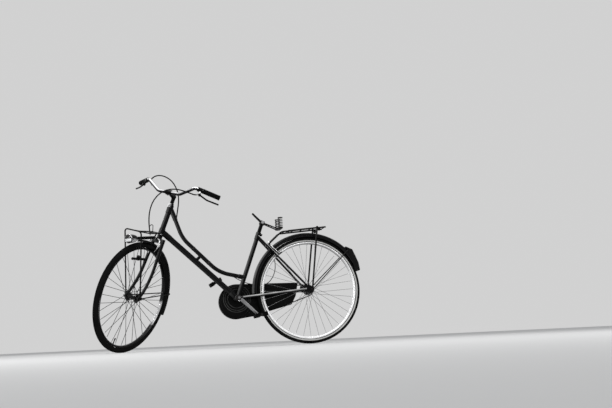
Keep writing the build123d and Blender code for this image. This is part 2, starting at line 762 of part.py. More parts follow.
def spokes(place, centre, flange_y):
    """Thirty-six tangent spokes, alternately outside and inside each flange."""
    pieces = []
    for number in range(SPOKE_COUNT):
        side = 1 if number % 2 == 0 else -1
        lead = 1 if (number // 2) % 2 == 0 else -1
        rim_angle = radians(number * 360.0 / SPOKE_COUNT)
        hub_angle = rim_angle - lead * radians(SPOKE_CROSS_ANGLE)
        flange_face = flange_y + lead * FLANGE_THICKNESS / 2
        step = SPOKE_RADIUS + (SPOKE_BEND if lead > 0 else SPOKE_FLANGE_GAP)
        start_y = side * (flange_face + lead * step)
        start = Vector(cos(hub_angle), 0, sin(hub_angle)) * FLANGE_HOLE_RADIUS + left * start_y
        reach = rim_inner - SPOKE_RIM_GAP
        end = Vector(cos(rim_angle), 0, sin(rim_angle)) * reach + left * side * SPOKE_RIM_Y
        pieces.append(rod(place, [centre + start, centre + end], SPOKE_RADIUS))
    with BuildPart() as piece:
        add(pieces)
    return piece.part


WHEELS = [
    # name, frame, axle point, half length of hub, flange distance, barrel radius, dropout distance
    ("front", STEERED, front_axle_point, 43.0, 33.0, 10.5, FRONT_DROPOUT_Y),
    ("rear", FRAME, rear_axle_point, 55.0, 30.0, COG_SEAT_RADIUS, DROPOUT_Y),
]
for name, place, centre, hub_half, flange_y, barrel, dropout_y in WHEELS:
    save(tyre(place, centre), f"{name}_tyre")
    save(rim(place, centre), f"{name}_rim")
    save(hub(place, centre, hub_half, flange_y, barrel), f"{name}_hub")
    save(spokes(place, centre, flange_y), f"{name}_spokes")
    save(axle(place, centre, dropout_y, hub_half), f"{name}_axle")


def toothed(place, centre, y, teeth, bore, tip_cut):
    """A chain wheel: its teeth end just inside the rollers of the chain."""
    tip = pitch_radius(teeth) - CHAIN_HALF_HEIGHT - TOOTH_CLEARANCE
    with BuildPart() as piece:
        with BuildSketch(section(place, centre + left * (y - RING_THICKNESS / 2), left)):
            Circle(tip)
            Circle(bore, mode=Mode.SUBTRACT)
            with PolarLocations(tip, teeth):
                Circle(tip_cut, mode=Mode.SUBTRACT)
        extrude(amount=RING_THICKNESS)
    return piece.part


save(toothed(FRAME, rear_axle_point, CHAIN_Y, COG_TEETH, COG_SEAT_RADIUS, 3.0), "rear_cog")

# Crankset: axle, chain ring with its spider, and the two cranks
crank_way = Vector(cos(radians(CRANK_ANGLE)), 0, sin(radians(CRANK_ANGLE)))
with BuildPart() as crank_axle:
    add(
        rod(
            FRAME,
            [bracket + left * (RIGHT_CRANK_Y - 8), bracket + left * (LEFT_CRANK_Y + 8)],
            CRANK_AXLE_RADIUS,
        )
    )
save(crank_axle.part, "crank_axle")

with BuildPart() as chain_ring:
    add(toothed(FRAME, bracket, CHAIN_Y, RING_TEETH, CRANK_AXLE_RADIUS, 3.0))
    with BuildSketch(section(FRAME, bracket + left * CHAIN_Y, left)) as windows:
        with PolarLocations(RING_WINDOW_CENTRE, 5, start_angle=36):
            Circle(RING_WINDOW_RADIUS)
    extrude(windows.sketch, amount=RING_THICKNESS, both=True, mode=Mode.SUBTRACT)
save(chain_ring.part, "chain_ring")

with BuildPart() as cranks:
    for y, way in ((LEFT_CRANK_Y, -1), (RIGHT_CRANK_Y, 1)):
        add(
            plate(
                FRAME,
                bracket + left * y,
                left,
                crank_way * way,
                CRANK_THICKNESS,
                [(0, 0, CRANK_BOSS_RADIUS), (CRANK_LENGTH, 0, CRANK_EYE_RADIUS)],
                [(0, 0, CRANK_AXLE_RADIUS), (CRANK_LENGTH, 0, PEDAL_PIN_RADIUS)],
            )
        )
    flats = cranks.faces().filter_by(Axis.Y)
    fillet([edge for flat in flats for edge in flat.outer_wire().edges()], radius=CRANK_EDGE)
    # cotter that wedges each crank on the axle
    across = crank_way.cross(left)
    for y, way in ((LEFT_CRANK_Y, -1), (RIGHT_CRANK_Y, 1)):
        seat = bracket + left * y + crank_way * (way * (CRANK_AXLE_RADIUS + COTTER_RADIUS + RUNNING_GAP))
        add(rod(FRAME, [seat - across * COTTER_REACH, seat + across * COTTER_REACH], COTTER_RADIUS))
save(cranks.part, "cranks")


# Pedals: two grooved blocks between end plates, on a barrel that turns on a pin in the crank
pins = []
for name, y, way, tilt in (
    ("left", LEFT_CRANK_Y, -1, PEDAL_TILT_LEFT),
    ("right", RIGHT_CRANK_Y, 1, PEDAL_TILT_RIGHT),
):
    side = 1 if y > 0 else -1
    eye = bracket + crank_way * (way * CRANK_LENGTH) + left * (y - side * CRANK_THICKNESS / 2)
    face = CRANK_THICKNESS + PEDAL_GAP
    fore = Vector(cos(radians(tilt)), 0, sin(radians(tilt)))
    pins.append(rod(FRAME, [eye, eye + left * side * (face + PEDAL_LENGTH - 6)], PEDAL_PIN_RADIUS))
    body_plane = section(FRAME, eye + left * side * face, left * side, fore)
    block_x = (PEDAL_WIDTH - PEDAL_BLOCK_WIDTH) / 2
    with BuildPart() as pedal:
        with BuildSketch(body_plane):
            Circle(PEDAL_BARREL_RADIUS)
        extrude(amount=PEDAL_LENGTH)
        for step in (0, PEDAL_LENGTH - PEDAL_PLATE):
            with BuildSketch(body_plane.offset(step)):
                RectangleRounded(PEDAL_WIDTH - 4, PEDAL_PLATE_HEIGHT, 6)
            extrude(amount=PEDAL_PLATE)
        with BuildSketch(body_plane.offset(PEDAL_PLATE)):
            with Locations((-block_x, 0), (block_x, 0)):
                RectangleRounded(PEDAL_BLOCK_WIDTH, PEDAL_HEIGHT, 5)
        extrude(amount=PEDAL_LENGTH - 2 * PEDAL_PLATE)
        pitch = (PEDAL_LENGTH - 2 * PEDAL_PLATE) / (PEDAL_GROOVES + 1)
        for number in range(PEDAL_GROOVES):
            start = PEDAL_PLATE + pitch * (number + 1) - PEDAL_GROOVE_WIDTH / 2
            with BuildSketch(body_plane.offset(start)):
                with Locations((0, PEDAL_HEIGHT / 2), (0, -PEDAL_HEIGHT / 2)):
                    Rectangle(2 * PEDAL_WIDTH, 2 * PEDAL_GROOVE_DEPTH)
            extrude(amount=PEDAL_GROOVE_WIDTH, mode=Mode.SUBTRACT)
        with BuildSketch(body_plane):
            Circle(PEDAL_PIN_RADIUS + AXLE_CLEARANCE)
        extrude(amount=PEDAL_LENGTH - PEDAL_PLATE, mode=Mode.SUBTRACT)
    save(pedal.part, f"pedal_{name}")
with BuildPart() as pedal_pins:
    add(pins)
save(pedal_pins.part, "pedal_pins")

# Chain: one loop round the cog and the ring, slack below
cog_radius = pitch_radius(COG_TEETH)
ring_radius = pitch_radius(RING_TEETH)
chain_plane = section(FRAME, left * CHAIN_Y, (0, -1, 0), (1, 0, 0))


def chain_loop(grow):
    """Outline of the loop at a distance outside its pitch line."""
    cog = (0.0, REAR_AXLE_Z)
    ring = (BRACKET_X, BRACKET_Z)
    sag = (CHAIN_SAG_X, CHAIN_SAG_Z + CHAIN_BEND_RADIUS)
    with BuildSketch() as loop:
        for centre, radius in ((cog, cog_radius + grow), (ring, ring_radius + grow)):
            with Locations(centre):
                Circle(radius)
        with Locations(sag):
            Circle(CHAIN_BEND_RADIUS + grow)
        make_hull()
    return loop.sketch


# The links' plates swell round each pin and narrow between two of them
pitch_line = chain_loop(0.0).face().outer_wire()
link_count = 2 * round(pitch_line.length / CHAIN_PITCH / 2)
with BuildPart() as chain:
    with BuildSketch(chain_plane.offset(-CHAIN_WIDTH / 2)):
        add(chain_loop(CHAIN_WAIST))
        add(chain_loop(-CHAIN_WAIST), mode=Mode.SUBTRACT)
        with Locations(*[pitch_line @ (number / link_count) for number in range(link_count)]):
            RegularPolygon(CHAIN_HALF_HEIGHT, 8)
    extrude(amount=CHAIN_WIDTH)
save(chain.part, "chain")

# Full chain case: a drum round the ring, a long tail, open behind, slotted for the stay
CASE_TAIL = [
    # x ahead of the rear axle, z above the ground, from the top round the tail
    (CASE_DRUM_X, CASE_TOP_Z),
    (CASE_TAIL_X, CASE_TOP_Z),
    (84.0, 316.0),
    (113.0, 261.0),
    (266.0, 222.0),
    (372.0, 193.0),
    (CASE_DRUM_X, CASE_DRUM_Z - CASE_DRUM_RADIUS),
]
case_plane = section(FRAME, left * CASE_INNER_Y, (0, -1, 0), (1, 0, 0))


def case_outline(inset):
    with BuildSketch() as outline:
        with BuildLine():
            Polyline(*CASE_TAIL, close=True)
        make_face()
        under = outline.vertices().filter_by(lambda corner: corner.X < CASE_DRUM_X - 1 and corner.Y < REAR_AXLE_Z)
        fillet(under, radius=CASE_CORNER)
        with Locations((CASE_DRUM_X, CASE_DRUM_Z)):
            Circle(CASE_DRUM_RADIUS)
        with Locations((CASE_DRUM_X, CASE_TOP_Z + CASE_DRUM_RADIUS)):
            Rectangle(4 * CASE_DRUM_RADIUS, 2 * CASE_DRUM_RADIUS, mode=Mode.SUBTRACT)
        if inset:
            offset(amount=-inset)
    return outline.sketch


drum_centre = Vector(CASE_DRUM_X, 0, CASE_DRUM_Z)
with BuildPart() as chain_case:
    with BuildSketch(case_plane):
        add(case_outline(0))
    extrude(amount=CASE_WIDTH)
    # rings pressed outwards in both faces of the drum
    for ring in CASE_RINGS:
        for face_y, step in ((CASE_INNER_Y, 1), (CASE_INNER_Y - CASE_WIDTH, -1)):
            half, sunk = CASE_RING_WIDTH / 2, CASE_WALL / 2
            bead = [(-sunk, ring - half), (0, ring - half), (CASE_RING_RISE, ring - half / 2)]
            bead += [(CASE_RING_RISE, ring + half / 2), (0, ring + half), (-sunk, ring + half)]
            add(lathe(FRAME, drum_centre + left * face_y, left * step, bead))
    with BuildSketch(case_plane.offset(CASE_WALL)):
        add(case_outline(CASE_WALL))
    extrude(amount=CASE_WIDTH - 2 * CASE_WALL, mode=Mode.SUBTRACT)
    with BuildSketch(case_plane.offset(CASE_WALL)):
        with BuildLine():
            Polyline(*[(x, z) for x, z in CASE_MOUTH], close=True)
        make_face()
    extrude(amount=CASE_WIDTH - 2 * CASE_WALL, mode=Mode.SUBTRACT)
    with BuildSketch(case_plane):
        with Locations((BRACKET_X, BRACKET_Z)):
            Circle(CASE_HOLE_RADIUS)
    extrude(amount=CASE_WIDTH, mode=Mode.SUBTRACT)
    with BuildSketch(case_plane.offset(-2 * CASE_RING_RISE)):
        with BuildLine():
            Polyline(*CASE_STAY_SLOT, close=True)
        make_face()
    extrude(amount=2 * CASE_RING_RISE + 2 * CASE_WALL, mode=Mode.SUBTRACT)
save(chain_case.part, "chain_case")


def guard(place, centre, radius, width, depth, tail, nose):
    """A mudguard blade: a rounded crown with a skirt each side, swept about the axle."""
    half = width / 2
    crown = depth * GUARD_CROWN
    inner = half - GUARD_THICKNESS
    start = wheel_section(place, centre, tail)
    with BuildPart() as piece:
        with BuildSketch(start):
            with BuildLine():
                Line((-half, radius - depth), (-half, radius - crown))
                ThreePointArc((-half, radius - crown), (0, radius), (half, radius - crown))
                Line((half, radius - crown), (half, radius - depth))
                Line((half, radius - depth), (inner, radius - depth))
                Line((inner, radius - depth), (inner, radius - crown))
                ThreePointArc((inner, radius - crown), (0, radius - GUARD_THICKNESS), (-inner, radius - crown))
                Line((-inner, radius - crown), (-inner, radius - depth))
                Line((-inner, radius - depth), (-half, radius - depth))
            make_face()
        revolve(axis=Axis(spot(place, centre), heading(place, left)), revolution_arc=nose - tail)
    return piece.part


rear_guard = guard(
    FRAME,
    rear_axle_point,
    REAR_GUARD_RADIUS,
    REAR_GUARD_WIDTH,
    REAR_GUARD_DEPTH,
    REAR_GUARD_TAIL,
    REAR_GUARD_NOSE,
)
save(rear_guard, "rear_mudguard")
front_guard = guard(
    STEERED,
    front_axle_point,
    FRONT_GUARD_RADIUS,
    FRONT_GUARD_WIDTH,
    FRONT_GUARD_DEPTH,
    FRONT_GUARD_TAIL,
    FRONT_GUARD_NOSE,
)
save(front_guard, "front_mudguard")


def guard_stays(place, centre, eyelet, dropout_y, radius, width, depth, angle):
    """A wire each side from the dropout to the skirt of the guard."""
    with BuildPart() as piece:
        for side in (1, -1):
            outward = Vector(-cos(radians(angle)), 0, sin(radians(angle)))
            far = centre + outward * (radius - depth / 2)
            far = far + left * side * (width / 2 + STAY_WIRE_RADIUS)
            step = dropout_y + DROPOUT_THICKNESS / 2 + STAY_WIRE_RADIUS + STAY_EYE_STEP
            near = centre + eyelet + left * side * step
            add(rod(place, [near, far], STAY_WIRE_RADIUS))
    return piece.part


save(
    guard_stays(
        FRAME,
        rear_axle_point,
        Vector(-14, 0, 3),
        DROPOUT_Y,
        REAR_GUARD_RADIUS,
        REAR_GUARD_WIDTH,
        REAR_GUARD_DEPTH,
        43.0,
    ),
    "rear_guard_stays",
)

# Rear carrier: two rails over the wheel, crossed by wires, on two legs
RAIL_POINTS = [
    # x, half spacing, z
    (270.0, 44.5, 652.0),
    (CARRIER_FRONT_X, CARRIER_HALF, REAR_AXLE_Z + REAR_GUARD_RADIUS + CARRIER_FRONT_RISE),
    (CARRIER_TAIL_X, CARRIER_HALF, CARRIER_TAIL_Z),
]
CARRIER_CROSSES = [160.0, CLIP_X, 100.0, 40.0, -20.0, -80.0, CARRIER_TAIL_X + CROSS_WIRE_RADIUS]


def deck_z(x):
    """Height of the rails' straight part."""
    front_x, half, front_z = RAIL_POINTS[1]
    return CARRIER_TAIL_Z + (front_z - CARRIER_TAIL_Z) * (x - CARRIER_TAIL_X) / (front_x - CARRIER_TAIL_X)


with BuildPart() as rear_carrier:
    for side in (1, -1):
        points = [Vector(x, side * y, z) for x, y, z in RAIL_POINTS]
        add(rod(FRAME, points, RAIL_RADIUS, CARRIER_BEND))
    for x in CARRIER_CROSSES:
        add(rod(FRAME, [(x, -CARRIER_HALF, deck_z(x)), (x, CARRIER_HALF, deck_z(x))], CROSS_WIRE_RADIUS))
    add(seat_stays.part, mode=Mode.SUBTRACT)
save(rear_carrier.part, "rear_carrier")

with BuildPart() as carrier_legs:
    for side in (1, -1):
        top = Vector(LEG_TOP_X, side * (CARRIER_HALF + RAIL_RADIUS + LEG_RADIUS), deck_z(LEG_TOP_X) + LEG_RADIUS)
        foot_y = side * (DROPOUT_Y + DROPOUT_THICKNESS / 2 + LEG_RADIUS + RUNNING_GAP)
        foot = Vector(LEG_FOOT[0], foot_y, REAR_AXLE_Z + LEG_FOOT[1])
        add(rod(FRAME, [top, foot], LEG_RADIUS))
save(carrier_legs.part, "carrier_legs")

# Spring clip that holds luggage down: a wire loop on a coil round the carrier's cross wire
with BuildPart() as carrier_clip:
    coil_z = deck_z(CLIP_X)
    loop = [
        (CLIP_X, -CLIP_Y, coil_z + CLIP_COIL_RADIUS),
        (CLIP_TIP_X, -CLIP_Y * 0.7, CARRIER_TAIL_Z + CLIP_TIP_RISE),
        (CLIP_TIP_X, CLIP_Y * 0.7, CARRIER_TAIL_Z + CLIP_TIP_RISE),
        (CLIP_X, CLIP_Y, coil_z + CLIP_COIL_RADIUS),
    ]
    add(rod(FRAME, loop, CROSS_WIRE_RADIUS, 12.0))
    coil = [(CLIP_X, y, coil_z) for y in (-CLIP_Y - 4, CLIP_Y + 4)]
    add(rod(FRAME, coil, CLIP_COIL_RADIUS))
    add(rod(FRAME, coil, CROSS_WIRE_RADIUS + RUNNING_GAP), mode=Mode.SUBTRACT)
save(carrier_clip.part, "carrier_clip")

# Rear lamp: a block on the tail of the guard with a round red window
LAMP_PLACES = [
    # degrees up from the rear about the axle, distance outside the guard
    (47.1, 4.9),
    (40.6, 22.8),
    (26.8, 5.5),
    (19.7, -6.1),
    (19.4, -42.9),
    (32.4, -24.9),
]
LAMP_OUTLINE = [
    (-cos(radians(angle)) * (REAR_GUARD_RADIUS + step), REAR_AXLE_Z + sin(radians(angle)) * (REAR_GUARD_RADIUS + step))
    for angle, step in LAMP_PLACES
]
lamp_face = Vector(LAMP_OUTLINE[2][0] - LAMP_OUTLINE[1][0], 0, LAMP_OUTLINE[2][1] - LAMP_OUTLINE[1][1])
lamp_face = lamp_face.normalized()
lamp_out = Vector(lamp_face.Z, 0, -lamp_face.X)
lamp_middle = Vector(LAMP_OUTLINE[1][0], 0, LAMP_OUTLINE[1][1]) + lamp_face * 48
with BuildPart() as guard_outside:
    add(
        lathe(
            FRAME,
            rear_axle_point - left * (REAR_GUARD_WIDTH / 2),
            left,
            [
                (0, 0),
                (0, REAR_GUARD_RADIUS + RUNNING_GAP),
                (REAR_GUARD_WIDTH, REAR_GUARD_RADIUS + RUNNING_GAP),
                (REAR_GUARD_WIDTH, 0),
            ],
        )
    )
with BuildPart() as rear_lamp:
    with BuildSketch(section(FRAME, left * (LAMP_WIDTH / 2), (0, -1, 0), (1, 0, 0))):
        with BuildLine():
            Polyline(*LAMP_OUTLINE, close=True)
        make_face()
    extrude(amount=LAMP_WIDTH)
    add(guard_outside.part, mode=Mode.SUBTRACT)
    with BuildSketch(section(FRAME, lamp_middle, lamp_out)):
        Circle(LENS_RADIUS)
    extrude(amount=-LENS_DEPTH, mode=Mode.SUBTRACT)
save(rear_lamp.part, "rear_lamp")
with BuildPart() as rear_lens:
    with BuildSketch(section(FRAME, lamp_middle, lamp_out)):
        Circle(LENS_RADIUS)
    extrude(amount=-LENS_DEPTH)
save(rear_lens.part, "rear_lamp_lens")

# Fork: crown with its steerer, two raked and tapered blades, two dropouts
crown_top = -(HEADSET_CUP + RUNNING_GAP)
nuts_foot = HEAD_LENGTH + HEADSET_CUP + RUNNING_GAP
nuts_top = nuts_foot + NUTS_HEIGHT
with BuildPart() as fork_crown:
    add(
        lathe(
            STEERED,
            head_foot,
            head_up,
            [
                (-CROWN_BOTTOM, 0),
                (-CROWN_BOTTOM, CROWN_RADIUS),
                (crown_top, CROWN_RADIUS),
                (crown_top, STEERER_RADIUS),
                (nuts_top, STEERER_RADIUS),
                (nuts_top, 0),
            ],
        )
    )
    with BuildSketch(section(STEERED, head_foot - head_up * SHOULDER_TOP, -head_up, left)):
        for x, radius in ((0, CROWN_RADIUS), (BLADE_ROOT_Y, BLADE_ROOT_RADIUS), (-BLADE_ROOT_Y, BLADE_ROOT_RADIUS)):
            with Locations((x, 0)):
                Circle(radius)
        make_hull()
    extrude(amount=CROWN_BOTTOM - SHOULDER_TOP)
save(fork_crown.part, "fork_crown")

FRONT_DROPOUT_CIRCLES = [
    # x ahead of the axle, z above it, radius
    (0, 0, 15.0),
    (-10.0, 24.0, 8.0),
]
with BuildPart() as front_dropouts:
    for side in (1, -1):
        add(
            plate(
                STEERED,
                front_axle_point + left * side * FRONT_DROPOUT_Y,
                (0, -1, 0),
                (1, 0, 0),
                DROPOUT_THICKNESS,
                FRONT_DROPOUT_CIRCLES,
                [(0, 0, AXLE_RADIUS)],
            )
        )

blade_tip = front_axle_point + head_up * 17 - head_front * 6
with BuildPart() as fork_blades:
    for side in (1, -1):
        points = [
            head_foot - head_up * CROWN_BOTTOM + left * side * BLADE_ROOT_Y,
            head_foot - head_up * BLADE_BEND + left * side * BLADE_BEND_Y,
            blade_tip + left * side * FRONT_DROPOUT_Y,
        ]
        path = [spot(STEERED, point) for point in points]
        with BuildLine() as run:
            FilletPolyline(*path, radius=fitting_bends(path, BLADE_BEND_RADIUS))
        upper, bend, lower = run.edges().sort_by_distance(path[0])
        for straight, root_radius, end_radius in (
            (upper, BLADE_ROOT_RADIUS, BLADE_KNEE_RADIUS),
            (lower, BLADE_KNEE_RADIUS, BLADE_TIP_RADIUS),
        ):
            for share, radius in ((0, root_radius), (1, end_radius)):
                with BuildSketch(Plane(origin=straight @ share, z_dir=straight % share)):
                    Circle(radius)
            loft()
        with BuildSketch(Plane(origin=bend @ 0, z_dir=bend % 0)):
            Circle(BLADE_KNEE_RADIUS)
        sweep(path=bend)
    add(front_dropouts.part)
    with BuildSketch(section(STEERED, front_axle_point - left * FRONT_DROPOUT_Y * 2, left)):
        Circle(AXLE_RADIUS)
    extrude(amount=FRONT_DROPOUT_Y * 4, mode=Mode.SUBTRACT)
    add(fork_crown.part, mode=Mode.SUBTRACT)
save(fork_blades.part, "fork_blades")

# Adjusting race and locknut on top of the headset
with BuildPart() as headset_nuts:
    add(
        lathe(
            STEERED,
            head_foot + head_up * nuts_foot,
            head_up,
            [
                (0, STEERER_RADIUS),
                (0, HEADSET_RADIUS),
                (NUTS_HEIGHT * 0.4, HEADSET_RADIUS),
                (NUTS_HEIGHT * 0.5, HEADSET_RADIUS - 4),
                (NUTS_HEIGHT, HEADSET_RADIUS - 4),
                (NUTS_HEIGHT, STEERER_RADIUS),
            ],
        )
    )
save(headset_nuts.part, "headset_nuts")

# Handlebar, swept back, with a grip on each end
bar_points = [
    Vector(BAR_END[0], side * BAR_END[1], BAR_END[2]) for side in (1,)
] + [Vector(x, y, z) for x, y, z in (BAR_CORNER, BAR_SHOULDER)]
bar_points = bar_points + [Vector(point.X, -point.Y, point.Z) for point in reversed(bar_points)]
BAR_ARCS = [BAR_BENDS[1], BAR_BENDS[0], BAR_BENDS[0], BAR_BENDS[1]]
with BuildPart() as handlebar:
    add(rod(STEERED, bar_points, BAR_RADIUS, BAR_ARCS))
save(handlebar.part, "handlebar")

grip_way = (Vector(*BAR_END) - Vector(*BAR_CORNER)).normalized()


def mirrored(vector, side):
    return Vector(vector.X, side * vector.Y, vector.Z)


with BuildPart() as grips:
    for side in (1, -1):
        tip = mirrored(Vector(*BAR_END) + grip_way * GRIP_CAP, side)
        root = mirrored(Vector(*BAR_END) - grip_way * GRIP_LENGTH, side)
        add(rod(STEERED, [root, tip], GRIP_RADIUS))
    add(handlebar.part, mode=Mode.SUBTRACT)
save(grips.part, "grips")

# Stem: a quill out of the headset and an arm to the clamp round the bar
bar_middle = Vector(BAR_SHOULDER[0], 0, BAR_SHOULDER[2])
with BuildPart() as stem:
    quill = [
        head_foot + head_up * nuts_top,
        head_foot + head_up * (nuts_top + STEM_QUILL),
        bar_middle,
    ]
    add(rod(STEERED, quill, STEM_RADIUS, STEM_BEND))
    with BuildSketch(section(STEERED, quill[0], head_up)):
        Circle(STEM_RADIUS)
    extrude(amount=STEM_QUILL + STEM_HORN)
    with BuildSketch(section(STEERED, quill[1] + head_up * STEM_HORN, head_up)):
        RegularPolygon(STEM_BOLT_RADIUS, 6)
    extrude(amount=STEM_BOLT_HEIGHT)
    add(rod(STEERED, [bar_middle + left * s * STEM_CLAMP_HALF for s in (-1, 1)], STEM_CLAMP_RADIUS))
    add(rod(STEERED, [bar_middle + left * s * STEM_CLAMP_HALF * 1.2 for s in (-1, 1)], BAR_RADIUS), mode=Mode.SUBTRACT)
save(stem.part, "stem")

# Brake levers: a clamp with a pivot, and a blade that follows the grip
lever_front = Vector(-grip_way.Y, grip_way.X, 0).normalized() * -1
lever_drop = (lever_front * LEVER_LEAN - Vector(0, 0, 1)).normalized()
clamp_point = Vector(*BAR_END) - grip_way * (GRIP_LENGTH + LEVER_CLAMP_INSET)
pivot_point = clamp_point + lever_drop * LEVER_PIVOT_DROP
with BuildPart() as lever_mounts:
    for side in (1, -1):
        centre = mirrored(clamp_point, side)
        way = mirrored(grip_way, side)
        add(
            lathe(
                STEERED,
                centre - way * LEVER_CLAMP_LENGTH / 2,
                way,
                [
                    (0, 0),
                    (0, LEVER_CLAMP_RADIUS),
                    (LEVER_CLAMP_LENGTH, LEVER_CLAMP_RADIUS),
                    (LEVER_CLAMP_LENGTH, 0),
                ],
            )
        )
        add(rod(STEERED, [centre, mirrored(pivot_point, side)], LEVER_ARM_RADIUS))
    add(handlebar.part, mode=Mode.SUBTRACT)
save(lever_mounts.part, "brake_lever_mounts")

with BuildPart() as levers:
    for side in (1, -1):
        points = [
            pivot_point,
            pivot_point + grip_way * 50 + lever_drop * 16,
            Vector(*BAR_END) - grip_way * 6 + lever_drop * LEVER_TIP_DROP,
        ]
        add(rod(STEERED, [mirrored(point, side) for point in points], LEVER_RADIUS, 60.0))
    add(lever_mounts.part, mode=Mode.SUBTRACT)
save(levers.part, "brake_levers")


def caliper(place, centre, pivot, tangent, reach, anchor):
    """Side-pull brake: a bolt and two arms that curve round the tyre to the rim."""
    out = (pivot - centre).normalized()
    top = (pivot - centre).length

    def at(y, radius, shift):
        return centre + out * radius + left * y + tangent * shift

    with BuildPart() as piece:
        add(rod(place, [at(0, top, -reach), at(0, top, ARM_RADIUS * 3)], BOLT_RADIUS))
        for side, shift in ((1, -ARM_RADIUS), (-1, ARM_RADIUS)):
            points = [
                at(side * -12, top + 8, shift),
                at(side * 30, top - 4, shift),
                at(side * ARM_SPREAD, top - 42, shift),
                at(side * (ARM_SPREAD - 2), BLOCK_RADIUS + 22, 0),
                at(side * (RIM_WIDTH / 2 + BLOCK_GAP + BLOCK_THICKNESS + 3), BLOCK_RADIUS, 0),
            ]
            add(rod(place, points, ARM_RADIUS, [14.0, 16.0, 12.0]))
        tip = at(anchor[0], top + anchor[1], ARM_RADIUS)
        add(rod(place, [at(-24, top - 2, ARM_RADIUS), tip], ARM_RADIUS - 0.8))
        with BuildSketch(section(place, at(0, BLOCK_RADIUS, 0), tangent, left)):
            for side in (1, -1):
                with Locations((side * (RIM_WIDTH / 2 + BLOCK_GAP + BLOCK_THICKNESS / 2), 0)):
                    Rectangle(BLOCK_THICKNESS, BLOCK_HEIGHT)
        extrude(amount=BLOCK_LENGTH / 2, both=True, mode=Mode.SUBTRACT)
    return piece.part


def brake_blocks(place, centre, pivot, tangent):
    """Two rubber blocks, one beside each flank of the rim."""
    out = (pivot - centre).normalized()
    with BuildPart() as piece:
        with BuildSketch(section(place, centre + out * BLOCK_RADIUS, tangent, left)):
            for side in (1, -1):
                with Locations((side * (RIM_WIDTH / 2 + BLOCK_GAP + BLOCK_THICKNESS / 2), 0)):
                    Rectangle(BLOCK_THICKNESS, BLOCK_HEIGHT)
        extrude(amount=BLOCK_LENGTH / 2, both=True)
    return piece.part


front_pivot = head_foot - head_up * (SHOULDER_TOP + 8) + head_front * (CROWN_RADIUS + CALIPER_STANDS["front"])
front_out = (front_pivot - front_axle_point).normalized()
front_tangent = front_out.cross(left) * -1
stay_way = (seat_stay_root - seat_stay_end).normalized()
rear_pivot = along_stay(STAY_BRIDGE_SHARE) + stay_way.cross(left) * CALIPER_STANDS["rear"]
rear_out = (rear_pivot - rear_axle_point).normalized()
rear_tangent = rear_out.cross(left)
BRAKES = [
    # name, frame, axle point, pivot, direction away from the mounting
    ("front", STEERED, front_axle_point, front_pivot, front_tangent),
    ("rear", FRAME, rear_axle_point, rear_pivot, rear_tangent),
]
for name, place, centre, pivot, tangent in BRAKES:
    reach = CALIPER_STANDS[name] - RUNNING_GAP - (STAY_BRIDGE_RADIUS if name == "rear" else 0)
    save(caliper(place, centre, pivot, tangent, reach, ANCHORS[name]), f"{name}_brake")
    save(brake_blocks(place, centre, pivot, tangent), f"{name}_brake_blocks")

save(
    guard_stays(
        STEERED,
        front_axle_point,
        Vector(-12, 0, 2),
        FRONT_DROPOUT_Y,
        FRONT_GUARD_RADIUS,
        FRONT_GUARD_WIDTH,
        FRONT_GUARD_DEPTH,
        -2.0,
    ),
    "front_guard_stays",
)

# Front carrier: a hoop from the axle over the wheel, rails back to the brake bolt, and the
# arm of the headlamp
lamp_back = Vector(HEADLAMP_X, 0, HEADLAMP_Z)
front_bolt = front_pivot + front_tangent * (ARM_RADIUS * 3 + CROSS_WIRE_RADIUS + 2 + RUNNING_GAP)
FRONT_RAIL = [
    # x, half spacing, z, from the hoop back to the head
    (HOOP_X, 40.0, HOOP_Z - 1),
    (1128.0, 40.0, 752.0),
    (FRONT_RAIL_REAR_X, 34.0, 746.0),
]
with BuildPart() as front_carrier:
    hoop_foot_y = FRONT_DROPOUT_Y + DROPOUT_THICKNESS / 2 + HOOP_RADIUS + RUNNING_GAP
    hoop_foot = (front_axle_point.X - 2.2, hoop_foot_y, front_axle_point.Z + 14.3)
    hoop_points = [
        hoop_foot,
        (HOOP_X, HOOP_Y, HOOP_Z),
        (HOOP_X, -HOOP_Y, HOOP_Z),
        (hoop_foot[0], -hoop_foot[1], hoop_foot[2]),
    ]
    add(rod(STEERED, hoop_points, HOOP_RADIUS, 20.0))
    for side in (1, -1):
        add(rod(STEERED, [(x, side * y, z) for x, y, z in FRONT_RAIL], CROSS_WIRE_RADIUS, 60.0))
    for x, y, z in ((FRONT_RAIL_REAR_X, 34.0, 746.0), (1060.0, 37.0, 749.0), (1128.0, 40.0, 752.0)):
        add(rod(STEERED, [(x, -y, z), (x, y, z)], CROSS_WIRE_RADIUS))
    add(rod(STEERED, [(FRONT_RAIL_REAR_X, 0, 746.0), front_bolt], CROSS_WIRE_RADIUS + 1))
    add(strip(STEERED, front_bolt, lamp_back, LAMP_ARM_THICKNESS, LAMP_ARM_HEIGHT))
save(front_carrier.part, "front_carrier")

# Headlamp: a bullet shell with a domed glass, on an arm from the carrier's tab
with BuildPart() as headlamp:
    add(
        lathe(
            STEERED,
            lamp_back,
            (1, 0, 0),
            [
                (0, 0),
                (0, 5),
                (8, HEADLAMP_RADIUS * 0.5),
                (24, HEADLAMP_RADIUS * 0.8),
                (HEADLAMP_LENGTH * 0.6, HEADLAMP_RADIUS - 1),
                (HEADLAMP_LENGTH - HEADLAMP_RIM, HEADLAMP_RADIUS - 1),
                (HEADLAMP_LENGTH - HEADLAMP_RIM, HEADLAMP_RADIUS + 1),
                (HEADLAMP_LENGTH, HEADLAMP_RADIUS + 1),
                (HEADLAMP_LENGTH, HEADLAMP_RADIUS - 3),
                (HEADLAMP_LENGTH - 10, HEADLAMP_RADIUS - 3),
                (HEADLAMP_LENGTH - 28, 0),
            ],
        )
    )
    add(front_carrier.part, mode=Mode.SUBTRACT)
save(headlamp.part, "headlamp")
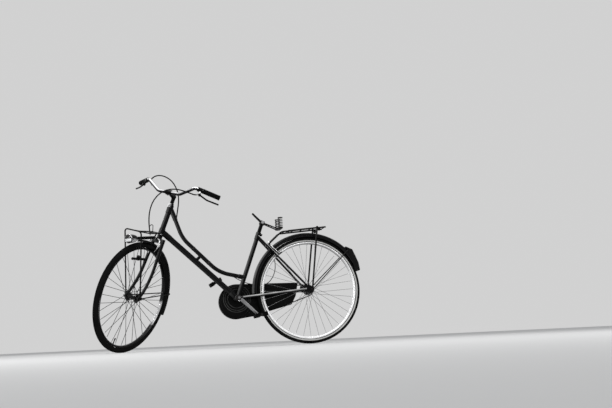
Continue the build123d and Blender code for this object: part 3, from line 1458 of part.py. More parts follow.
with BuildPart() as headlamp_glass:
    add(
        lathe(
            STEERED,
            lamp_back,
            (1, 0, 0),
            [
                (HEADLAMP_LENGTH - 3, 0),
                (HEADLAMP_LENGTH - 3, HEADLAMP_RADIUS - 3),
                (HEADLAMP_LENGTH, HEADLAMP_RADIUS - 3),
                (HEADLAMP_LENGTH + 5, HEADLAMP_RADIUS * 0.5),
                (HEADLAMP_LENGTH + 6, 0),
            ],
        )
    )
save(headlamp_glass.part, "headlamp_glass")

# Clip on the right blade, with its arm to the front
with BuildPart() as blade_clip:
    add(rod(STEERED, [(1026.0, -44.0, 566.0), (1150.0, -47.0, 578.0)], 6.5))
    add(rod(STEERED, [(1090.0, -46.0, 572.0), (1096.0, -46.0, 592.0)], 7.5))
    add(fork_blades.part, mode=Mode.SUBTRACT)
save(blade_clip.part, "blade_clip")


def cable(place, points, radii=None):
    """A cable in its housing, with arcs as large as each pair of runs allows."""
    path = [Vector(point) for point in points]
    arcs = []
    for number, (before, corner, after) in enumerate(zip(path, path[1:], path[2:])):
        if radii and radii[number]:
            arcs.append(radii[number])
            continue
        turn = (corner - before).get_angle(after - corner)
        shorter = min((corner - before).length, (after - corner).length)
        arcs.append(0.45 * shorter / tan(radians(turn / 2)))
    return rod(place, path, CABLE_RADIUS, arcs)


# The front cable leaves the arm of the left lever and ends at the caliper's anchor
FRONT_CABLE = [
    # x, y, z in ground coordinates with the steering straight
    (911, 186, 1019),
    (925, 161, 1025),
    (940, 134, 1031),
    (955, 105, 1037),
    (970, 66, 1038),
    (990, 22, 1026),
    (1008, -12, 1000),
    (1024, -42, 953),
    (1031, -57, 890),
    (1028, -58, 830),
    (1020, -52, 775),
]
lever_arm = clamp_point + lever_drop * (LEVER_PIVOT_DROP - LEVER_ARM_RADIUS)
first, last = Vector(*FRONT_CABLE[0]), Vector(*FRONT_CABLE[-1])
cable_top = lever_arm + (first - lever_arm).normalized() * (LEVER_ARM_RADIUS + RUNNING_GAP)
anchor_radius = (front_pivot - front_axle_point).length + ANCHORS["front"][1]
anchor = front_axle_point + front_out * anchor_radius + left * ANCHORS["front"][0] + front_tangent * ARM_RADIUS
cable_foot = anchor + (last - anchor).normalized() * (ARM_RADIUS + 2 * RUNNING_GAP + 0.4)
save(cable(STEERED, [cable_top] + FRONT_CABLE + [cable_foot]), "front_brake_cable")

# The rear brake's cable: a free loop from the right lever, then clipped to the frame
LOOP_STOP = (879.0, -185.0, 1030.0)
REAR_LOOP = [
    # x, y, z in ground coordinates
    (1016, -74, 1104),
    (1000, -64, 1121),
    (975, -54, 1131),
    (942, -44, 1128),
    (908, -36, 1112),
    (878, -31, 1085),
    (855, -26, 1045),
    (842, -22, 1000),
    (840, -19, 948),
    (848, -16, 895),
    (857, -13, 838),
]
lever_stop = FRAME.to_local_coords(spot(STEERED, LOOP_STOP))
save(cable(FRAME, [lever_stop] + REAR_LOOP), "rear_brake_cable_loop")

CABLE_SIDE = -(TOP_TUBE_RADIUS + CABLE_RADIUS + 0.5)
REAR_RUN = [
    # x, y, z, radius of the arc at the corner, or None for as large as the runs allow
    (856.4, -13.6, 836.7, None),
    (842.5, CABLE_SIDE, 765.5, 110.0),
    (TOP_TUBE_KNEE[0], CABLE_SIDE, TOP_TUBE_KNEE[1], TOP_TUBE_BENDS[1]),
    (TOP_TUBE_HEEL[0], CABLE_SIDE, TOP_TUBE_HEEL[1], TOP_TUBE_BENDS[0]),
    (515, -17, 462.6, 60.0),
    (480, -23, 442, None),
    (440, -26, 420, None),
    (388, -28, 402, None),
    (335, -29, 395, None),
    (290, -30, 396, None),
    (258, -33, 412, None),
    (228, -44, 450, None),
    (212, -51, 494, None),
    (210, -53, 548, None),
    (224, -53, 605, None),
    (240, -52, 645, None),
]
save(cable(FRAME, [row[:3] for row in REAR_RUN], [row[3] for row in REAR_RUN[1:-1]]), "rear_brake_cable")
print("rider mount at", SADDLE_X, SADDLE_Z)
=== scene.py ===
import bpy
import json
from math import cos, degrees, pi, radians, sin, sqrt, tan
from mathutils import Matrix, Vector


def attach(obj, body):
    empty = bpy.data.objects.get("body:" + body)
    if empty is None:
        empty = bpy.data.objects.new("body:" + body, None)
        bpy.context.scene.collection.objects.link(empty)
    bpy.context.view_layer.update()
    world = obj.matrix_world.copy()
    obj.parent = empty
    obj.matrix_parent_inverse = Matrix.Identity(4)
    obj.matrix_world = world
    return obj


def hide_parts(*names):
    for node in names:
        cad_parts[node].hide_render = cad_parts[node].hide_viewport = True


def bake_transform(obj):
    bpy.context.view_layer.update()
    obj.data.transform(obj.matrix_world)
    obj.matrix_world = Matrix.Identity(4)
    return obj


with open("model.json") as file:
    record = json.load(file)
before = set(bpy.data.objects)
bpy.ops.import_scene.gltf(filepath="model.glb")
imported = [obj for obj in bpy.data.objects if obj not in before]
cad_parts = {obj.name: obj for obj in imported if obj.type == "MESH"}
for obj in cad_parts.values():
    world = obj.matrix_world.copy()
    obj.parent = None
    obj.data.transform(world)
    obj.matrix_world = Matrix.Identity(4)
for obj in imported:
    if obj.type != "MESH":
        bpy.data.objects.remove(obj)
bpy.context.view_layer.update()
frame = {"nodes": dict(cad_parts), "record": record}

# Places. Pieces are drawn in metres from the rear axle's spot on the ground: x forward,
# y to the rider's left, z up, with the steering straight ahead. SEATED moves them to the
# saddle clamp, and TURNED turns them with the steering on the way.
ORIGIN, UP = (0.0, 0.0, 0.0), (0.0, 0.0, 1.0)
LEFT = Vector((0.0, 1.0, 0.0))
SADDLE = Vector((0.29986, 0.0, 0.80026))
BRACKET = Vector((0.476, 0.0, 0.311))
HEAD_FOOT = Vector((0.96, 0.0, 0.732))
HEAD_ANGLE = radians(70.0)
HEAD_UP = Vector((-cos(HEAD_ANGLE), 0.0, sin(HEAD_ANGLE)))
HEAD_FRONT = Vector((sin(HEAD_ANGLE), 0.0, cos(HEAD_ANGLE)))
FORK_LENGTH, FORK_RAKE = 0.434, 0.054
FRONT_AXLE = HEAD_FOOT - HEAD_UP * FORK_LENGTH + HEAD_FRONT * FORK_RAKE
REAR_AXLE = Vector((0.0, 0.0, 0.35))
STEER = radians(54.4)
SEATED = Matrix.Translation(-SADDLE)
TURNED = (
    SEATED
    @ Matrix.Translation(HEAD_FOOT)
    @ Matrix.Rotation(STEER, 4, HEAD_UP)
    @ Matrix.Translation(-HEAD_FOOT)
)
DRAWN = Matrix()  # for a piece that is drawn in its place
SIDES = ((1, "left"), (-1, "right"))


# ---- Finishes

def feed(node, inputs):
    """Sets a node's inputs, each to a value or to another node's output."""
    for name, value in inputs.items():
        if isinstance(value, bpy.types.NodeSocket):
            node.id_data.links.new(value, node.inputs[name])
        else:
            node.inputs[name].default_value = value


def put(tree, kind, inputs=(), **settings):
    """A new node, with its settings made before its inputs are fed."""
    node = tree.nodes.new(kind)
    for name, value in settings.items():
        setattr(node, name, value)
    feed(node, dict(inputs))
    return node


def paint_shade_by_facing(tree, place, paint, colour, start, whole, side):
    """Painted light and shade: the paint stays as painted light on faces toward the lit side, and
    painted shade hides it where a face's share of that side falls below start, wholly below whole."""
    lit_side = Vector(side).normalized()
    facing = put(
        tree, "ShaderNodeVectorMath", {0: place["Normal"], 1: lit_side}, operation="DOT_PRODUCT",
    )
    lit_share = put(
        tree, "ShaderNodeMapRange",
        {"From Min": whole, "From Max": start, "Value": facing.outputs["Value"]},
    )
    inputs = {"Factor": lit_share.outputs["Result"], "A": (*colour, 1.0), "B": paint}
    return put(tree, "ShaderNodeMix", inputs, data_type="RGBA").outputs["Result"]


def paint_light_by_height(tree, place, paint, light_bands):
    """Painted light and shade by height: the bands are heights with the share of the paint that is
    left at each.
    """
    low, high = light_bands[0][0], light_bands[-1][0]
    height = put(tree, "ShaderNodeSeparateXYZ", {"Vector": place["Object"]})
    level = put(
        tree, "ShaderNodeMapRange",
        {"From Min": low, "From Max": high, "Value": height.outputs["Z"]},
    )
    shares = put(tree, "ShaderNodeValToRGB", {"Fac": level.outputs["Result"]})
    stops = shares.color_ramp.elements
    for z, _ in light_bands[1:-1]:
        stops.new((z - low) / (high - low))
    for stop, (_, share) in zip(stops, light_bands):
        stop.color = (share, share, share, 1.0)
    inputs = {"Factor": 1.0, "A": paint, "B": shares.outputs["Color"]}
    mix = put(tree, "ShaderNodeMix", inputs, data_type="RGBA", blend_type="MULTIPLY")
    return mix.outputs["Result"]


def finish(
    name, colour, rough, metal=0.0, spread=0.3, grain=120.0, bump=0.03, coat=0.0, dust=0.0,
    gleam=0.5, painted_shade=(), light_bands=(),
):
    """A finish with its own grain, under its painted shade and its painted bands of light and shade
    if it has them.
    """
    material = bpy.data.materials.new(name)
    material.use_nodes = True
    tree = material.node_tree
    place = put(tree, "ShaderNodeTexCoord").outputs

    def noise(scale, detail):
        inputs = {"Vector": place["Object"], "Scale": scale, "Detail": detail}
        return put(tree, "ShaderNodeTexNoise", inputs).outputs["Fac"]

    broad, fine = noise(grain * 0.12, 4.0), noise(grain * 4.0, 3.0)
    ramp = put(tree, "ShaderNodeValToRGB", {"Fac": broad})
    ends = ((0.35, 1.0 - spread, 0.0), (0.7, 1.0 + spread, dust))
    for stop, (position, share, more) in zip(ramp.color_ramp.elements, ends):
        stop.position = position
        stop.color = [min(1.0, channel * share + more) for channel in colour] + [1.0]
    paint = ramp.outputs["Color"]
    # painted shade on faces turned from the lit side
    if painted_shade:
        paint = paint_shade_by_facing(tree, place, paint, *painted_shade)
    # painted light and shade in bands of height
    if light_bands:
        paint = paint_light_by_height(tree, place, paint, light_bands)
    gloss = put(tree, "ShaderNodeMapRange", {
        "Value": broad, "From Min": 0.3, "From Max": 0.7,
        "To Min": rough * 0.75, "To Max": min(1.0, rough * 1.35),
    })
    relief = put(tree, "ShaderNodeBump", {"Strength": bump, "Distance": 0.0004, "Height": fine})
    feed(tree.nodes["Principled BSDF"], {
        "Base Color": paint,
        "Metallic": metal,
        "Roughness": gloss.outputs["Result"],
        "Normal": relief.outputs["Normal"],
        "Specular IOR Level": gleam,
        "Coat Weight": coat,
        "Coat Roughness": 0.12,
    })
    return material


# painted shade: its colour, the share at which it starts, the share at which it is whole, and the
# lit side, where the paint is left as painted light
SHADE_BLACK = (0.003, 0.003, 0.0033)
FROM_AHEAD = (0.8, 0.35, 0.3)
# black frame paint: its grey is painted light on faces toward the front and left, and painted shade
# covers the rest
enamel = finish(
    "black_enamel", (0.075, 0.075, 0.074), 0.24, gleam=0.07,
    painted_shade=(SHADE_BLACK, 1.0, 0.45, FROM_AHEAD),
)
# the rear guard: painted light on faces toward the front, painted shade on the rest
guard_enamel_painted_light = finish(
    "guard_enamel_painted_light", (0.1, 0.1, 0.099), 0.3, spread=0.4, gleam=0.07,
    painted_shade=(SHADE_BLACK, 0.95, 0.35, (1.0, 0.15, 0.1)),
)
# the chain stays: their pale grey is a painted highlight on faces that look up, painted shade on
# the rest
chain_stay_painted_highlight = finish(
    "chain_stay_painted_highlight", (0.4, 0.4, 0.396), 0.3, gleam=0.07,
    painted_shade=(SHADE_BLACK, 0.95, 0.3, (0.1, 0.5, 0.86)),
)
# the seat stays: a narrow pale streak of painted highlight, painted shade on the rest
seat_stay_painted_highlight = finish(
    "seat_stay_painted_highlight", (0.6, 0.6, 0.595), 0.3, gleam=0.07,
    painted_shade=(SHADE_BLACK, 0.99, 0.92, (-0.55, 0.72, 0.58)),
)
case_grey = finish("worn_case_enamel", (0.05, 0.05, 0.049), 0.35, spread=0.5, gleam=0.1)
# dull black paint, with painted light on faces toward the front and left and painted shade on the
# rest
old_enamel = finish(
    "dull_black_enamel", (0.035, 0.035, 0.034), 0.4, spread=0.4, bump=0.06, gleam=0.05,
    painted_shade=((0.003, 0.003, 0.003), 1.0, 0.5, FROM_AHEAD),
)
# chrome, with painted shade on faces that look down
chrome = finish(
    "chromed_steel", (0.86, 0.86, 0.87), 0.14, metal=1.0, spread=0.06, bump=0.02,
    painted_shade=((0.012, 0.012, 0.013), 0.25, -0.05, UP),
)
# chrome of the seat post and stem: its dark colour is a painted dark reflection, with painted shade
# on faces that look down
dark_chrome = finish(
    "chrome_painted_dark_reflection", (0.05, 0.05, 0.051), 0.3, metal=1.0, spread=0.35, bump=0.05,
    painted_shade=((0.005, 0.005, 0.005), 0.7, 0.1, UP),
)
# the rear rim's chrome, with painted shade on faces that look down
rim_chrome = finish(
    "rim_chrome", (0.97, 0.97, 0.98), 0.24, metal=0.55, spread=0.08,
    painted_shade=((0.12, 0.12, 0.12), -0.15, -0.7, UP),
)
# the front rim: painted shade over most of it; painted light only on faces toward the front, left
# and up, within a band of heights a little below the axle
front_rim_painted_light = finish(
    "front_rim_chrome_painted_light_and_shade", (0.85, 0.85, 0.86), 0.26, metal=1.0, spread=0.1, bump=0.04,
    painted_shade=((0.035, 0.035, 0.035), 0.55, 0.3, (0.397, 0.764, 0.508)),
    light_bands=[
        (-0.85, 0.04), (-0.635, 0.04), (-0.605, 1.0), (-0.495, 1.0), (-0.475, 0.04), (-0.1, 0.04),
    ],
)
# a near black copy of the spoke finish, for the front spokes: painted shade
dark_zinc = finish("spoke_zinc_painted_shade", (0.012, 0.012, 0.012), 0.5, metal=0.5, bump=0.05, gleam=0.1)
spoke_zinc = finish("dull_zinc", (0.2, 0.2, 0.202), 0.35, metal=0.95, bump=0.05)
dark_steel = finish(
    "oiled_steel", (0.016, 0.015, 0.015), 0.42, metal=0.6, spread=0.5, bump=0.08, gleam=0.2,
)
# the cranks: the steel's grey is painted light on faces toward the left and back, painted shade on
# the rest
crank_steel = finish(
    "crank_steel_painted_highlight", (0.3, 0.3, 0.305), 0.3, metal=1.0, spread=0.2, bump=0.04,
    painted_shade=((0.012, 0.012, 0.012), 0.5, -0.3, (-0.35, 0.75, -0.1)),
)
bright_steel = finish("bright_steel", (0.5, 0.5, 0.51), 0.28, metal=1.0, spread=0.2, bump=0.05)
# polished alloy, with painted shade on faces that look down
brake_alloy = finish(
    "polished_brake_alloy", (0.8, 0.8, 0.8), 0.25, metal=1.0, spread=0.1,
    painted_shade=((0.05, 0.05, 0.05), 0.15, -0.25, UP),
)
# painted reflection on the headlamp at rest, by height from below: painted shade, the bright band
# the lamp would reflect, painted shade
LAMP_PAINTED_REFLECTION = [
    (-0.16, 0.02), (-0.144, 0.02), (-0.14, 1.0), (-0.127, 1.0), (-0.123, 0.02), (-0.09, 0.02),
]
# the headlamp's shell and glass carry the painted reflection by height
lamp_chrome = finish(
    "lamp_chrome", (0.9, 0.9, 0.91), 0.16, metal=1.0, spread=0.03, grain=60.0, bump=0.01,
    light_bands=LAMP_PAINTED_REFLECTION,
)
glass = finish(
    "lamp_glass", (0.9, 0.91, 0.92), 0.08, spread=0.03, grain=40.0, bump=0.01, light_bands=LAMP_PAINTED_REFLECTION,
)
feed(glass.node_tree.nodes["Principled BSDF"], {"Transmission Weight": 0.3, "IOR": 1.5})
red_lens = finish("red_lens", (0.12, 0.005, 0.005), 0.12, spread=0.2, bump=0.1, coat=0.6)
tyre_rubber = finish(
    "tyre_rubber", (0.004, 0.004, 0.004), 0.75, spread=0.35, bump=0.25, dust=0.002, gleam=0.04,
)
strip = finish("sidewall_strip", (0.4, 0.4, 0.39), 0.5, spread=0.15, bump=0.1)
grip_rubber = finish("grip_rubber", (0.003, 0.003, 0.003), 0.6, bump=0.15, gleam=0.03)
housing = finish("cable_housing", (0.003, 0.003, 0.003), 0.45, bump=0.05, gleam=0.03)
lamp_plastic = finish("lamp_plastic", (0.004, 0.004, 0.004), 0.45, bump=0.06, gleam=0.06)

SLOT_FINISHES = {
    "frame_paint": enamel,
    "fitting_paint": old_enamel,
    "chrome": chrome,
    "rim_steel": rim_chrome,
    "spoke_steel": spoke_zinc,
    "hub_steel": dark_steel,
    "crank_steel": crank_steel,
    "drive_steel": dark_steel,
    "tyre_rubber": tyre_rubber,
    "black_rubber": grip_rubber,
    "cable_housing": housing,
    "black_plastic": lamp_plastic,
    "red_lens": red_lens,
    "clear_glass": glass,
}
# drawn pieces that show more, or less, than the rest of their kind: most of them by their own
# painted light and shade
NODE_FINISHES = {
    "chain_stays": chain_stay_painted_highlight,
    "seat_stays": seat_stay_painted_highlight,
    "rear_mudguard": guard_enamel_painted_light,
    "seat_post": dark_chrome,
    "saddle_frame": old_enamel,
    "saddle_springs": old_enamel,
    "front_brake": brake_alloy,
    "rear_brake": brake_alloy,
    "brake_lever_mounts": old_enamel,
    "carrier_clip": dark_steel,
}
for entry in frame["record"]["subparts"]:
    worn_as = NODE_FINISHES.get(entry["node"], SLOT_FINISHES[entry["material_slot"]])
    materials = frame["nodes"][entry["node"]].data.materials
    materials.clear()
    materials.append(worn_as)


# ---- Camera, floor and light

SENSOR_WIDTH = 36.0
PHOTO_WIDTH = 612.0
FOCAL_PIXELS = 765.57


def place_camera():
    """The photo is taken from the left, from floor level, tilted up and rolled a little."""
    data = bpy.data.cameras.new("photo_camera")
    data.sensor_width = SENSOR_WIDTH
    data.lens = FOCAL_PIXELS / PHOTO_WIDTH * SENSOR_WIDTH
    data.clip_start = 0.05
    camera = bpy.data.objects.new("photo_camera", data)
    bpy.context.scene.collection.objects.link(camera)
    turn = Matrix.Rotation(radians(166.303), 4, "Z")
    tilt = Matrix.Rotation(radians(100.016), 4, "X")
    roll = Matrix.Rotation(radians(-2.66), 4, "Z")
    camera.matrix_world = Matrix.Translation((0.8965, 4.9354, -0.7703)) @ turn @ tilt @ roll
    bpy.context.scene.camera = camera


def seen_or_lit(tree, seen, lit):
    """One background for the camera, reflections and glass, and another as light."""
    rays = put(tree, "ShaderNodeLightPath").outputs
    shows = rays["Is Camera Ray"]
    for ray in ("Is Transmission Ray", "Is Glossy Ray"):
        either = put(tree, "ShaderNodeMath", {0: shows, 1: rays[ray]}, operation="MAXIMUM")
        shows = either.outputs["Value"]
    return put(tree, "ShaderNodeMixShader", {"Fac": shows, 1: lit.outputs[0], 2: seen.outputs[0]})


def panel(name, place, target, wide, high, power):
    """A lamp of its width and height, aimed at a spot."""
    data = bpy.data.lights.new(name, "AREA")
    data.shape = "RECTANGLE"
    data.size, data.size_y = wide, high
    data.energy = power
    lamp = bpy.data.objects.new(name, data)
    bpy.context.scene.collection.objects.link(lamp)
    lamp.location = place
    lamp.rotation_euler = (Vector(target) - Vector(place)).to_track_quat("-Z", "Y").to_euler()


def make_studio():
    world = bpy.data.worlds.new("studio")
    bpy.context.scene.world = world
    world.use_nodes = True
    tree = world.node_tree
    seen = tree.nodes["Background"]
    feed(seen, {"Color": (0.64, 0.64, 0.64, 1.0)})
    lit = put(tree, "ShaderNodeBackground", {"Color": (0.86, 0.87, 0.88, 1.0), "Strength": 0.68})
    feed(tree.nodes["World Output"], {"Surface": seen_or_lit(tree, seen, lit).outputs[0]})

    bpy.ops.object.select_all(action="DESELECT")
    bpy.ops.mesh.primitive_plane_add(size=60.0, location=(0.0, 0.0, -SADDLE.z))
    floor = bpy.context.object
    floor.name = "studio_floor"
    paving = bpy.data.materials.new("studio_floor")
    paving.use_nodes = True
    feed(paving.node_tree.nodes["Principled BSDF"], {
        "Base Color": (0.62, 0.62, 0.62, 1.0), "Roughness": 0.9, "Specular IOR Level": 0.1,
    })
    floor.data.materials.append(paving)

    low, middle = (0.2, 0.0, -0.4), (0.2, 0.0, -0.3)
    panel("sky_panel", (0.6, 1.2, 3.4), low, 4.0, 4.0, 55.0)
    panel("side_panel", (-2.6, 3.0, 1.2), low, 2.0, 2.0, 28.0)
    panel("back_panel", (2.4, -3.0, 1.8), low, 2.5, 2.5, 20.0)
    # two narrow strips, for the thin highlights along the tubes
    panel("high_strip", (0.4, 3.2, 2.4), middle, 3.6, 0.14, 30.0)
    panel("near_strip", (3.4, 2.6, 0.3), middle, 0.14, 2.6, 60.0)
    bpy.context.scene.view_settings.view_transform = "Standard"


place_camera()
make_studio()


# ---- Ways of making pieces

def mode(kind):
    bpy.ops.object.mode_set(mode=kind)


def pick_all():
    bpy.ops.mesh.select_all(action="SELECT")


def drop_all():
    bpy.ops.object.select_all(action="DESELECT")


def smooth(angle):
    bpy.ops.object.shade_smooth_by_angle(angle=radians(angle))


def draw_line(name, corners):
    """A new piece in edit mode: one point, extruded from corner to corner."""
    drop_all()
    bpy.ops.mesh.primitive_plane_add(size=0.001)
    piece = bpy.context.object
    piece.name = name
    mode("EDIT")
    bpy.ops.mesh.select_mode(type="VERT")
    pick_all()
    bpy.ops.mesh.merge(type="CENTER")
    bpy.ops.transform.translate(value=corners[0])
    for here, there in zip(corners, corners[1:]):
        step = Vector(there) - Vector(here)
        bpy.ops.mesh.extrude_region_move(TRANSFORM_OT_translate={"value": step})
    return piece


def select_near(piece, spots):
    """In object mode, picks the points that lie at the spots."""
    mode("EDIT")
    bpy.ops.mesh.select_mode(type="VERT")
    bpy.ops.mesh.select_all(action="DESELECT")
    mode("OBJECT")
    for vertex in piece.data.vertices:
        vertex.select = any((vertex.co - spot).length < 1e-5 for spot in spots)


def tube(name, corners, radius, bends=(), sides=16, arc=8):
    """A round bar or wire along straight runs, its corners rounded to the radii in bends, or,
    where a bend is None, as far as the shorter run leaves room."""
    corners = [Vector(corner) for corner in corners]
    piece = draw_line(name, corners)
    mode("OBJECT")
    for before, corner, after, bend in zip(corners, corners[1:], corners[2:], bends):
        turn = (corner - before).angle(after - corner)
        if turn < 0.01:
            continue
        room = 0.45 * min((corner - before).length, (after - corner).length)
        select_near(piece, [corner])
        mode("EDIT")
        bpy.ops.mesh.bevel(
            offset_type="OFFSET", offset=bend * tan(turn / 2.0) if bend else room,
            segments=max(2, round(arc * turn / 1.2)), affect="VERTICES", clamp_overlap=False,
        )
        mode("OBJECT")
    bpy.ops.object.convert(target="CURVE")
    line = bpy.context.object
    line.data.dimensions = "3D"
    line.data.bevel_depth = radius
    line.data.bevel_resolution = sides // 4
    line.data.use_fill_caps = True
    bpy.ops.object.convert(target="MESH")
    piece = bpy.context.object
    piece.name = name
    smooth(40.0)
    return piece


def lathe(name, outline, steps=48, sharp=35.0):
    """A turned piece about its own z: the outline's points are (radius, height)."""
    piece = draw_line(name, [(radius, 0.0, height) for radius, height in outline])
    pick_all()
    bpy.ops.mesh.spin(steps=steps, angle=2.0 * pi, center=ORIGIN, axis=UP)
    pick_all()
    bpy.ops.mesh.remove_doubles(threshold=1e-6)
    bpy.ops.mesh.normals_make_consistent(inside=False)
    mode("OBJECT")
    smooth(sharp)
    return piece


def ring_of(outline):
    """The outline closed on itself, for a ring turned with lathe."""
    return list(outline) + [outline[0]]


def both_halves(half):
    """An outline and its mirror image beyond the middle plane."""
    return half + [(radius, -height) for radius, height in reversed(half)]


def beam(wide, thick, long):
    """A cube drawn out to a bar, left in edit mode with all of it picked."""
    drop_all()
    bpy.ops.mesh.primitive_cube_add(size=1.0)
    mode("EDIT")
    bpy.ops.transform.resize(value=(wide, thick, long))
    return bpy.context.object


def carry(piece, matrix):
    """Moves the piece's mesh by a matrix and leaves its object at the origin."""
    piece.matrix_world = matrix @ piece.matrix_world
    drop_all()
    piece.select_set(True)
    bpy.context.view_layer.objects.active = piece
    bpy.ops.object.transform_apply(location=True, rotation=True, scale=True)
    return piece


def along(spot, direction, up=None):
    """A matrix that puts a piece's own z along a direction at a spot."""
    z = Vector(direction).normalized()
    x = Vector(up) if up is not None else z.orthogonal()
    x = (x - z * x.dot(z)).normalized()
    turn = Matrix((x, z.cross(x), z)).transposed().to_4x4()
    return Matrix.Translation(spot) @ turn


def copy_of(piece):
    """A copy with its own mesh."""
    other = piece.copy()
    other.data = piece.data.copy()
    bpy.context.scene.collection.objects.link(other)
    return other


def twins(piece):
    """A piece and its copy, for two sides or two wheels."""
    return piece, copy_of(piece)


def join(pieces, name=None):
    drop_all()
    for piece in pieces:
        piece.select_set(True)
    bpy.context.view_layer.objects.active = pieces[0]
    bpy.ops.object.join()
    whole = bpy.context.object
    if name:
        whole.name = name
    return whole


def copies(piece, matrices, name=None):
    """Copies of a piece at their places, joined into one."""
    made = []
    for matrix in matrices:
        other = copy_of(piece)
        other.matrix_world = matrix @ piece.matrix_world
        made.append(other)
    bpy.data.objects.remove(piece)
    return join(made, name)


def fit(piece, place, body, material, *stands_for):
    """Puts a piece on the bicycle: its place, its body, its finish and what it replaces."""
    carry(piece, (TURNED if body in ("steering", "front_wheel") else SEATED) @ place)
    if material is not None:
        piece.data.materials.clear()
        piece.data.materials.append(material)
    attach(piece, body)
    if stands_for:
        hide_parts(*stands_for)


# ---- Small parts that many pieces share

def hexagon(name, radius, height, washer=0.0):
    """A nut or bolt head standing on its own z, its corners rounded off, with its washer."""
    outline = [
        (0.0, 0.0), (radius, 0.0), (radius, height * 0.84), (radius * 0.9, height), (0.0, height),
    ]
    piece = lathe(name, outline, steps=6, sharp=20.0)
    if washer:
        outline = [(0.0, -0.001), (washer, -0.001), (washer, 0.0004), (0.0, 0.0004)]
        piece = join([piece, lathe("washer", outline, steps=20)], name)
    return piece


def dome(name, radius, height):
    """A round-headed screw standing on its own z."""
    outline = [
        (0.0, 0.0), (radius, 0.0), (radius, height * 0.25), (radius * 0.8, height * 0.8),
        (0.0, height),
    ]
    return lathe(name, outline, steps=14, sharp=50.0)


def flat(name, radius, half):
    """A wire or tube beaten flat round its bolt: a round pad with a rim that swells."""
    outline = [
        (0.0, -half), (radius, -half), (radius + 0.0004, 0.0), (radius, half), (0.0, half),
    ]
    return lathe(name, outline, steps=20)


def around(angle):
    """The way from an axle at an angle, from straight ahead up."""
    return Vector((cos(angle), 0.0, sin(angle)))


def outward(angle, radius):
    """A spot round an axle, its angle in degrees from straight behind up."""
    return around(pi - radians(angle)) * radius


def mirrored(vector, side):
    return Vector((vector[0], side * vector[1], vector[2]))


def both(point):
    return [mirrored(point, side) for side, _ in SIDES]


def both_sides(point, half):
    return [(Vector(point) + LEFT * half * side, LEFT * side) for side, _ in SIDES]


def across(model, spots):
    """Copies of a round model at these spots, their axes across the bicycle."""
    return copies(model, [along(spot, LEFT) for spot in spots])


def fastenings(name, model, seats, body, material):
    """One row of like nuts or screws: each seat is a point and the way its head looks."""
    fit(copies(model, [along(*seat) for seat in seats], name), DRAWN, body, material)


# ---- Wheels

TYRE_STEPS = 180
SPOKES = 36
RIM_HOLE, FLANGE_HOLE = 0.3032, 0.0225


def tyre():
    """Tyre with a ribbed crown cut into blocks, plain sidewalls and a bead."""
    half = [
        # distance from the middle plane, radius from the axle
        (0.0, 0.3494), (0.0012, 0.3494), (0.0016, 0.3482), (0.003, 0.3482), (0.0034, 0.3492),
        (0.0068, 0.3486), (0.0072, 0.3472), (0.0086, 0.3468), (0.009, 0.3476), (0.0124, 0.3452),
        (0.015, 0.3421), (0.0172, 0.3377), (0.0183, 0.333), (0.0183, 0.329), (0.0172, 0.324),
        (0.015, 0.3203), (0.0128, 0.318), (0.012, 0.3172),
    ]
    outline = [(radius, -y) for y, radius in reversed(half[1:])]
    outline += [(radius, y) for y, radius in half]
    piece = lathe("tyre", ring_of(outline), steps=TYRE_STEPS, sharp=30.0)
    # every second cut across the shoulder rib stands back, which leaves the tread's blocks
    for polygon in piece.data.polygons:
        centre = polygon.center
        angle = degrees(centre.xy.angle_signed(Vector((1.0, 0.0)), 0.0))
        number = int((angle % 360.0) / (360.0 / TYRE_STEPS))
        polygon.select = 0.0092 < abs(centre.z) < 0.0122 and number % 2 == 0
    mode("EDIT")
    bpy.ops.mesh.select_mode(type="FACE")
    mode("OBJECT")
    mode("EDIT")
    bpy.ops.mesh.inset(thickness=0.0007, depth=-0.0012)
    mode("OBJECT")
    piece.data.materials.append(tyre_rubber)
    return piece


def light_strip(piece):
    """The pale line round each sidewall, a ring of faces with its own finish."""
    piece.data.materials.append(strip)
    for polygon in piece.data.polygons:
        radius = sqrt(polygon.center.x ** 2 + polygon.center.y ** 2)
        if 0.32 < radius < 0.3295 and abs(polygon.center.z) > 0.0145:
            polygon.material_index = 1


def rim():
    """Chromed rim: rolled edges, flat flanks and a raised channel that carries the nipples."""
    half = [
        # radius from the axle, distance from the middle plane
        (0.3168, 0.011), (0.317, 0.0118), (0.3165, 0.0124), (0.3156, 0.0125), (0.3104, 0.0125),
        (0.3094, 0.0122), (0.3087, 0.0112), (0.3082, 0.0098), (0.3066, 0.0091), (0.305, 0.0086),
        (0.304, 0.0076), (0.3035, 0.0064), (0.3031, 0.0052), (0.303, 0.003),
    ]
    return lathe("rim", ring_of(both_halves(half)), steps=TYRE_STEPS, sharp=50.0)


def spoke_pattern():
    """Each spoke's side, its lead over its hole in the rim, and its angles at rim and hub."""
    for number in range(SPOKES):
        side = 1 if number % 2 == 0 else -1
        lead = 1 if (number // 2) % 2 == 0 else -1
        rim_angle = number * 2.0 * pi / SPOKES
        yield side, lead, rim_angle, rim_angle - lead * pi / 3.0


def spoke_lines():
    """The places of the spokes about the axle, from the rim inwards, and their length."""
    spots = []
    for side, _, rim_angle, hub_angle in spoke_pattern():
        rim_end = around(rim_angle) * RIM_HOLE + LEFT * side * 0.003
        hub_end = around(hub_angle) * FLANGE_HOLE + LEFT * side * 0.032
        spots.append(along(rim_end, hub_end - rim_end))
    return spots, (hub_end - rim_end).length


def valve():
    outline = [
        (0.0, 0.0), (0.0042, 0.0), (0.0042, 0.004), (0.0032, 0.005), (0.0032, 0.026),
        (0.0042, 0.027), (0.0042, 0.036), (0.003, 0.038), (0.0, 0.038),
    ]
    return lathe("valve", outline, steps=16)


